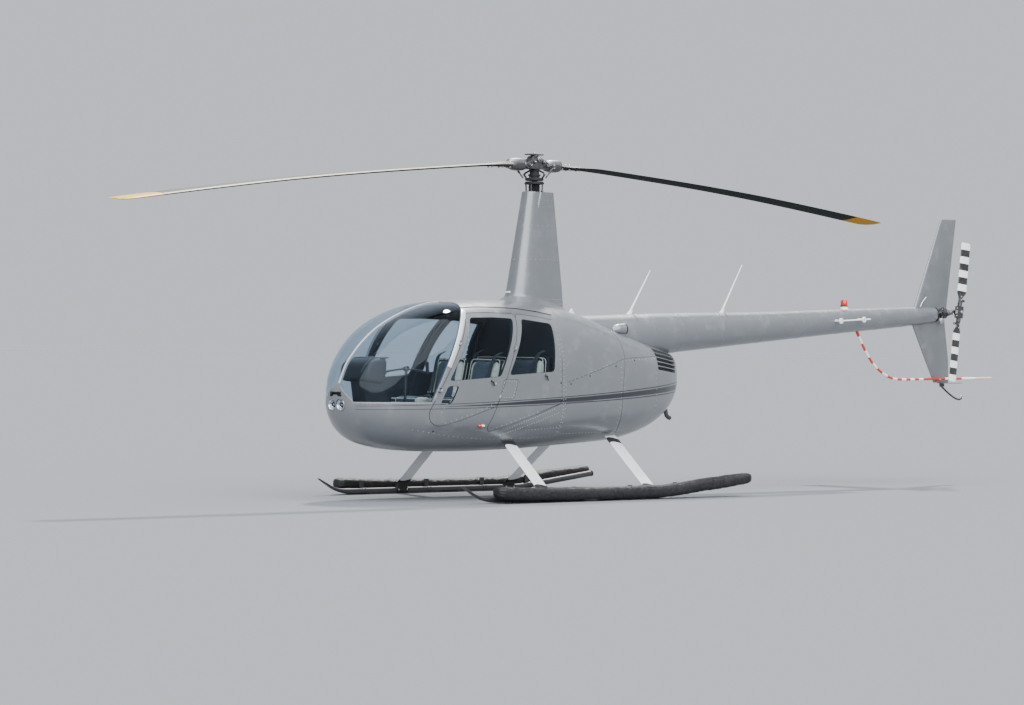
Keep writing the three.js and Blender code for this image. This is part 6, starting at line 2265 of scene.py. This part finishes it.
def makeConsole():
    # two slabs, a hood, eight dials with marks and a hand, and three radios
    c = cabin["console"]
    wide, narrow = c["halves"]
    mould = Mould()
    head = softOutline(c["head"], 0.05, 0.010) + (mastX, 0)
    mould.add(slabShape(head, -wide, wide, 0.035), 0)
    foot = softOutline(c["foot"], 0.03, 0.012) + (mastX, 0)
    mould.add(slabShape(foot, -narrow, narrow, 0.010), 0)
    hood = softOutline(c["hood"], 0.006, 0.006)
    mould.add(slabShape(hood + (mastX, 0), -0.188, 0.188, 0.004), 0)
    r = c["dial"]
    turn = evenTurns(28)
    for y, z in c["dials"]:
        x = np.interp(z, [1.10, 1.205, 1.30], [-2.000, -1.977, -1.981]) + mastX
        ring = stacked(x + 0.001, y + r * np.cos(turn), z + r * np.sin(turn))
        mould.add(tubeShape(ring, 0.0032, 8, ends="loop"), 1)
        face = [(0, r * 0.97), (0.0012, r * 0.97), (0.0014, 0.002)]
        mould.add(latheShape(face, (x - 0.001, y, z), (1, 0, 0), 28), 2)
        for k in range(12):
            a = k * math.pi / 6
            mark = boxShape((0.0, -0.0008, r * 0.72), (0.0012, 0.0008, r * 0.90))
            mould.add(turned(mark, aboutAxis((1, 0, 0), a), (x, y, z)), 3)
        hand = boxShape((0.0012, -0.0012, -r * 0.15), (0.0022, 0.0012, r * 0.68))
        mould.add(turned(hand, aboutAxis((1, 0, 0), y * 21 + z * 13), (x, y, z)), 3)
    for k, z in enumerate((1.035, 0.985, 0.935)):
        x = -1.952 + mastX + (1.035 - z) * 0.62
        mould.add(boxShape((x - 0.02, -0.078, z - 0.020), (x + 0.006, 0.078, z + 0.020)), 2)
        mould.add(boxShape((x + 0.006, -0.030, z - 0.009), (x + 0.0075, 0.040, z + 0.009)), 4)
        for y in (-0.058, 0.060):
            mould.add(rodShape((x + 0.004, y, z), (x + 0.019, y, z), 0.009, 16), 0)
    makePiece(mould, "instrumentConsole", "plastic darkMetal seal white screen", "dark_plastic",
              ["instrument_console"], bevel=0.0015)


def makeStick():
    # a bent post with a crossbar and a grip at each end
    stick = Mould()
    c = cabin["stick"]
    post = smoothPath(c["post"], 24) + (mastX, 0, 0)
    stick.add(tubeShape(post, 0.0135, 16), 0)
    stick.add(latheShape([(0, 0.045), (0.02, 0.040), (0.05, 0.024), (0.07, 0.016)],
                         (-1.557 + mastX, 0, 0.6125), (-0.1, 0, 1), 24), 1)
    stick.add(rodShape((-1.590 + mastX, -0.024, 1.203), (-1.590 + mastX, 0.024, 1.203), 0.023, 20), 0)
    for s in (-1, 1):
        arm = smoothPath([(-1.590, 0, 1.203), (-1.590, 0.16 * s, 1.188), (-1.590, 0.295 * s, 1.170)], 16)
        stick.add(tubeShape(arm + (mastX, 0, 0), 0.0095, 12), 0)
        grip = np.array(c["grip"]) * (1, s, 1) + (mastX, 0, 0)
        radius = np.interp(np.linspace(0, 1, 24), *c["gripRadii"])
        stick.add(tubeShape(smoothPath(grip, 24), radius, 18), 1)
        stick.add(rodShape((-1.612 + mastX, 0.300 * s, 1.262), (-1.622 + mastX, 0.300 * s, 1.266), 0.006,
                           12), 2)
    makePiece(stick, "cyclicControl", "black plastic red", "black_paint", ["cyclic_stick"], bevel=0.001)


def makePedals():
    # a pair of pedals and one lever beside each front seat
    pedals = Mould()
    for y in (-0.33, -0.19):
        x = -2.02 + mastX
        arm = smoothPath([(x - 0.02, y, 0.613), (x - 0.035, y, 0.700), (x - 0.01, y, 0.760)], 14)
        pedals.add(tubeShape(arm, 0.008, 12), 0)
        pedals.add(turned(boxShape((-0.045, -0.036, -0.004), (0.045, 0.036, 0.004)),
                          aboutAxis((0, 1, 0), -1.0),
                          (x + 0.002, y, 0.772)), 1)
    x, y = -0.985 + mastX, -0.016
    lever = smoothPath([(x, y, 0.700), (x - 0.08, y, 0.890), (x - 0.32, y, 0.985)], 24)
    pedals.add(tubeShape(lever, 0.0085, 12), 0)
    pedals.add(rodShape(lever[-1] + (0.11, 0, -0.043), lever[-1], 0.0135, 18), 2)
    makePiece(pedals.both(), "pedalsAndLevers", "legPaint alloy seal", "black_paint", bevel=0.001)


def dressNode(name, finish):
    # a node of the frame keeps its mesh and takes a finish
    for place in nodes[name].material_slots:
        place.material = finish


makeCushions()
makeSeatBases()
makeBelts()
makeConsole()
makeStick()
makePedals()
for name, finish in (("cabin_floor", "carpet"), ("rear_bulkhead", "lining"), ("engine_block", "steel")):
    dressNode(name, finishes[finish])
print("cabin made")


# strips, rivets, handles and lights on the hull
details = {
    "post": {"high": (1.225, 1.745), "low": (0.925, 1.205), "off": (0.026, 0.021), "width": (0.044, 0.030)},
    "retainer": {"drop": 0.013, "width": 0.019, "height": 0.0016, "pitch": 0.026},
    "gutter": [(-1.285, 1.766), (-1.020, 1.776), (-0.660, 1.770), (-0.400, 1.748), (-0.160, 1.712)],
    "seams": [
        [(-0.150, 1.082), (0.300, 1.200), (0.721, 1.311)],
        [(0.721, 1.311), (0.979, 1.320), (1.296, 1.330)],
        [(0.721, 1.311), (0.722, 1.397), (0.729, 1.480), (0.713, 1.541), (0.690, 1.580)],
        [(0.715, 1.300), (0.664, 1.048), (0.656, 0.896), (0.672, 0.700), (0.700, 0.600)],
        [(-0.489, 0.812), (-0.191, 0.889), (0.000, 0.903), (0.217, 0.912)],
    ],
    "flap": [(-0.960, 1.111), (-0.778, 1.111), (-0.832, 0.933), (-1.005, 0.934)],
    "rivetLines": {  # side-view lines and the pitch of the rivets along them
        "belly": ([(-1.90, 0.655), (-1.40, 0.585), (-0.90, 0.560), (-0.25, 0.575)], 0.055),
        "bellyAft": ([(-0.17, 0.600), (0.40, 0.610), (0.95, 0.640), (1.35, 0.730)], 0.045),
        "rearEdge": ([(-0.186, 0.56), (-0.186, 1.070)], 0.030),
        "rearEdgeHigh": ([(-0.186, 1.100), (-0.180, 1.640)], 0.040),
        "rearEdgeAft": ([(-0.160, 0.62), (-0.160, 1.060)], 0.045),
        "seamLow": ([(-0.15, 1.080), (0.722, 1.289), (1.270, 1.309)], 0.060),
        "slant": ([(-0.86, 0.655), (-0.62, 0.735), (-0.30, 0.835)], 0.028),
        "slantTwo": ([(-0.92, 0.600), (-0.60, 0.690), (-0.24, 0.800)], 0.028),
        "flat": ([(-0.62, 0.640), (-0.22, 0.660)], 0.040),
        "engineUp": ([(0.640, 0.60), (0.640, 1.225)], 0.050),
        "engineBack": ([(1.240, 0.70), (1.240, 1.17)], 0.050),
    },
    "doorRivets": {
        "front": [([(-1.660, 0.815), (-1.480, 1.110), (-1.300, 1.690)], 0.045),
                  ([(-1.055, 0.900), (-1.180, 0.845), (-1.600, 0.715)], 0.060)],
        "rear": [([(-0.215, 0.930), (-0.232, 1.250), (-0.200, 1.620)], 0.045),
                 ([(-0.520, 0.812), (-0.890, 0.702), (-1.050, 0.655)], 0.055)],
    },
    "handles": {"front": (-1.107, 1.100), "rear": (-0.427, 1.149)},
    "locks": {"front": (-1.058, 1.074), "rear": (-0.395, 1.120)},
    "catches": [(-0.227, 1.079), (-0.092, 1.069), (0.172, 1.145), (0.560, 1.236), (0.880, 1.290),
                (-1.700, 0.640)],
    "marker": (-1.200, 0.690),
    "exhaust": (1.700, 0.760),
}


def hullRivets(mould, flat, radius=0.0050, height=0.0020, material=2, sides=6):
    # low domes on the hull at points of the panel plane
    normals = hullNormal(flat[:, 0], flat[:, 1] / hull["turn"])
    mould.add(domesShape(hullSkin(flat), normals, radius, height, sides), material)


def hullFrame(x, z):
    # a place on the port side with its matrix: aft along the skin, up the skin and outwards
    flat = hullFlat([(x, z)])
    normal = hullNormal(flat[:, 0], flat[:, 1] / hull["turn"])[0]
    up = unit(np.cross(normal, (1, 0, 0)) * (1 if normal[1] < 0 else 1))
    up = up if up[2] > 0 else -up
    return hullSkin(flat)[0], np.stack([np.cross(up, normal), up, normal], -1)


def makeTrim():
    # strips along posts, waist, nose panel and gutter, cords on seams, rivets and catches
    d = details
    post, keep = d["post"], d["retainer"]
    mould = Mould()
    edge = np.array(outlines["windshieldRear"])
    # the upper post strip takes the paler silver, a painted highlight; the lower one the plain silver
    for part, material, high in (("high", 1, 0.0030), ("low", 0, 0.0018)):
        lowest, highest = post[part]
        off, width = (post[k][0 if part == "high" else 1] for k in ("off", "width"))
        z = np.linspace(lowest, highest, 50)
        x = smoothCurve(edge[:, 1], edge[:, 0], z) + off
        mould.add(hullStrip(hullFlat(np.stack([x, z], -1)), width, high), material)
        if part == "low":
            hullRivets(mould, hullLine(np.stack([x, z], -1), 0.035), 0.0034, 0.0030)
    waist = hullSide(waistFront)
    line = np.stack([np.linspace(waist[0, 0] + 0.004, waist[-1, 0], 70),
                     np.full(70, panels["waist"] - keep["drop"])], -1)
    mould.add(hullStrip(hullFlat(line), keep["width"], keep["height"]), 0)
    hullRivets(mould, hullLine(line, keep["pitch"]), 0.0034, keep["height"] + 0.0012, 2)
    side = nose[2:]
    ahead = unit(np.gradient(side, axis=0))
    inner = side + np.stack([ahead[:, 1], -ahead[:, 0]], -1) * -0.010
    mould.add(hullStrip(inner, 0.014, keep["height"]), 0)
    hullRivets(mould, evenly(inner, 0.022), 0.0028, keep["height"] + 0.001, 2)
    mould.add(hullStrip(hullLine(smoothPath(d["gutter"], 60), 0.012), 0.010, 0.0045), 3)
    for line in d["seams"]:
        mould.add(hullTube(hullLine(smoothPath(line, 60), 0.012), 0.0, 0.0015, False), 3)
    for line, pitch in d["rivetLines"].values():
        hullRivets(mould, hullLine(smoothPath(line, 40), pitch))
    for x, z in d["catches"]:
        at, matrix = hullFrame(x, z)
        mould.add(turned(latheShape([(-0.004, 0.008), (0.0015, 0.008), (0.0025, 0.006)], (0, 0, 0),
                                    (0, 0, 1), 18),
                         matrix, at), 3)
    mould.both()
    makePiece(mould, "hullTrim", "silverPlain bow alloy seal", "silver_paint")


def makeMarkers():
    # a coloured glass on the skin with a white shell behind it: red to port and green to starboard
    lights = Mould()
    at, matrix = hullFrame(*details["marker"])
    lights.add(turned(blobShape((-0.014, 0, 0.006), (0.046, 0.028, 0.030), 2.0, 12, 20), matrix, at), 0)
    lights.add(turned(blobShape((0.022, 0, 0.003), (0.052, 0.022, 0.018), 2.0, 12, 20), matrix, at), 1)
    starboard = lights.twin()
    starboard.faces = [(f, 2 if m == 0 else m) for f, m in starboard.faces]
    for which, one in (("left", lights), ("right", starboard)):
        makePiece(one, which + "MarkerLight", "redLens white greenLens",
                  "red_lens" if which == "left" else "white_paint")


def makeLiners():
    # black sheets behind the grilles and the nose vent as painted shade in the openings, with four upright
    # vanes on each side of the vent
    shadeSheets = Mould()
    fore, aft = panels["grille"]["fore"], panels["grille"]["aft"]
    loop = hullFlat(softOutline([fore[0], aft[0], aft[1], fore[1]], 0.01, 0.012))
    net, triangles = cutPanel([(loop, True)], lambda m: inside(m, loop), 0.03)
    shell = panelShell(net, triangles, 0.0265, 0.030, 0, 0)
    shadeSheets.add((shell[0], [(f, 0) for f, _ in shell[1]]))
    low, high = panels["ventHeights"]
    x = frontPoint(panels["ventHalves"][0], low)[0]
    shadeSheets.add(boxShape((x + 0.015, -0.095, low - 0.012), (x + 0.020, 0.0, high + 0.012)), 0)
    for k in range(4):
        y = -0.012 - 0.019 * k
        shadeSheets.add(boxShape((x - 0.010, y - 0.001, low - 0.004), (x + 0.014, y + 0.001, high + 0.004)), 0)
    makePiece(shadeSheets.both(), "ventLiners", "seal", "dark_plastic")


def makeDoorTrim():
    # rivets, a handle and a lock on each door, and a fuel flap on the rear one
    d = details
    for place in ("front", "rear"):
        mould = Mould()
        for line, pitch in d["doorRivets"][place]:
            hullRivets(mould, hullLine(smoothPath(line, 40), pitch))
        if place == "rear":
            loop = hullFlat(softOutline(d["flap"], 0.022, 0.008))
            mould.add(hullTube(loop, 0.0004, 0.0016), 1)
            inner = shrunk(softOutline(d["flap"], 0.02, 0.01), 0.012)
            hullRivets(mould, hullLine(evenly(inner, 0.03), 0.032))
        at, matrix = hullFrame(*d["handles"][place])
        lever = [
            (latheShape([(-0.004, 0.013), (0.003, 0.013), (0.005, 0.011)], (0, 0, 0), (0, 0, 1), 24), 1),
            (latheShape([(0.004, 0.007), (0.016, 0.007), (0.018, 0.005)], (0, 0, 0), (0, 0, 1), 20), 2),
            (slabShape(softOutline([(-0.006, -0.008), (0.050, -0.006), (0.050, 0.006), (-0.006, 0.008)],
                                   0.005, 0.004),
                       0.012, 0.018, 0.002, "xy"), 1),
        ]
        for shape, material in lever:
            mould.add(turned(shape, matrix @ aboutAxis((0, 0, 1), -1.2), at), material)
        at, matrix = hullFrame(*d["locks"][place])
        mould.add(turned(latheShape([(-0.003, 0.008), (0.002, 0.008), (0.003, 0.006), (0.0032, 0.002)],
                                    (0, 0, 0), (0, 0, 1), 20), matrix, at), 2)
        makePair(mould, place.title() + "DoorTrim", "silverPlain seal alloy", "silver_paint",
                 body=place + "_door")


def makeProbes():
    # a tube on the mast fairing, a rod on the fin and the exhaust pipe
    mould = Mould()
    x = np.interp(1.925, [1.76, 1.96], [-0.345, -0.300]) + mastX
    mould.add(rodShape((x + 0.01, 0, 1.925), (x - 0.050, 0, 1.925), 0.006, 14), 0)
    mould.add(latheShape([(0, 0.012), (0.012, 0.008)], (x + 0.004, 0, 1.925), (-1, 0, 0), 18), 0)
    rod = smoothPath([(5.535, -0.055, 1.862), (5.575, -0.052, 1.915), (5.632, -0.050, 1.965)], 12)
    mould.add(tubeShape(rod + (mastX, 0, 0), 0.0042, 10), 0)
    x, z = details["exhaust"]
    at = (x + mastX, -0.115, z - 0.012)
    pipe = [(at[0] - 0.02, at[1], at[2] + 0.06), at, (at[0] + 0.045, at[1], at[2] - 0.025)]
    mould.add(tubeShape(smoothPath(pipe, 16), 0.021, 24), 1)
    makePiece(mould, "probesAndExhaust", "white darkMetal", "white_paint")


makeTrim()
makeMarkers()
makeLiners()
makeDoorTrim()
makeProbes()
print("hull details made")


# light and floor
stage = {
    "reach": 400.0,
    "sky": (0.70, 0.735, 0.79),
    "sun": (4.30, 4.16, 3.96),  # light that falls on level ground
    "from": (0.50, 0.36, 0.80),  # towards the sun
    "softness": 4.0,  # degrees
    "fill": 6.0,  # light of the wide lamp on level ground
    "fillFrom": (-0.34, -0.60, 0.78),
    "fillSoftness": 96.0,
}


def makeStage():
    # the floor's tone is sky / (sky + (sun + fill) / pi), which makes it as bright as the sky behind it
    world = bpy.data.worlds.new("world")
    bpy.context.scene.world = world
    world.use_nodes = True
    ground = world.node_tree.nodes["Background"]
    ground.inputs["Color"].default_value = (*stage["sky"], 1)
    turn = evenTurns(96)
    mesh = bpy.data.meshes.new("floor")
    ring = np.stack([np.cos(turn), np.sin(turn), 0 * turn], -1) * stage["reach"]
    mesh.from_pydata([tuple(p) for p in ring], [], [tuple(range(96))])
    light = [b + stage["fill"] for b in stage["sun"]]
    tone = tuple(a / (a + b / math.pi) for a, b in zip(stage["sky"], light))
    f = Finish("paleFloor")
    mesh.materials.append(f.surface({"Base Color": tone, "Roughness": 1.0, "Specular IOR Level": 0.0}))
    floor = bpy.data.objects.new("floor", mesh)
    bpy.context.collection.objects.link(floor)
    fill = (stage["fill"],) * 3
    for name, onGround, way, soft in (("key", stage["sun"], stage["from"], stage["softness"]),
                                      ("fill", fill, stage["fillFrom"], stage["fillSoftness"])):
        lamp = bpy.data.lights.new(name, "SUN")
        rise = unit(way)
        lamp.energy = max(onGround) / rise[2]
        lamp.color = tuple(c / max(onGround) for c in onGround)
        lamp.angle = math.radians(soft)
        holder = bpy.data.objects.new(name, lamp)
        holder.rotation_euler = Vector(-rise).to_track_quat("-Z", "Y").to_euler()
        bpy.context.collection.objects.link(holder)


makeStage()
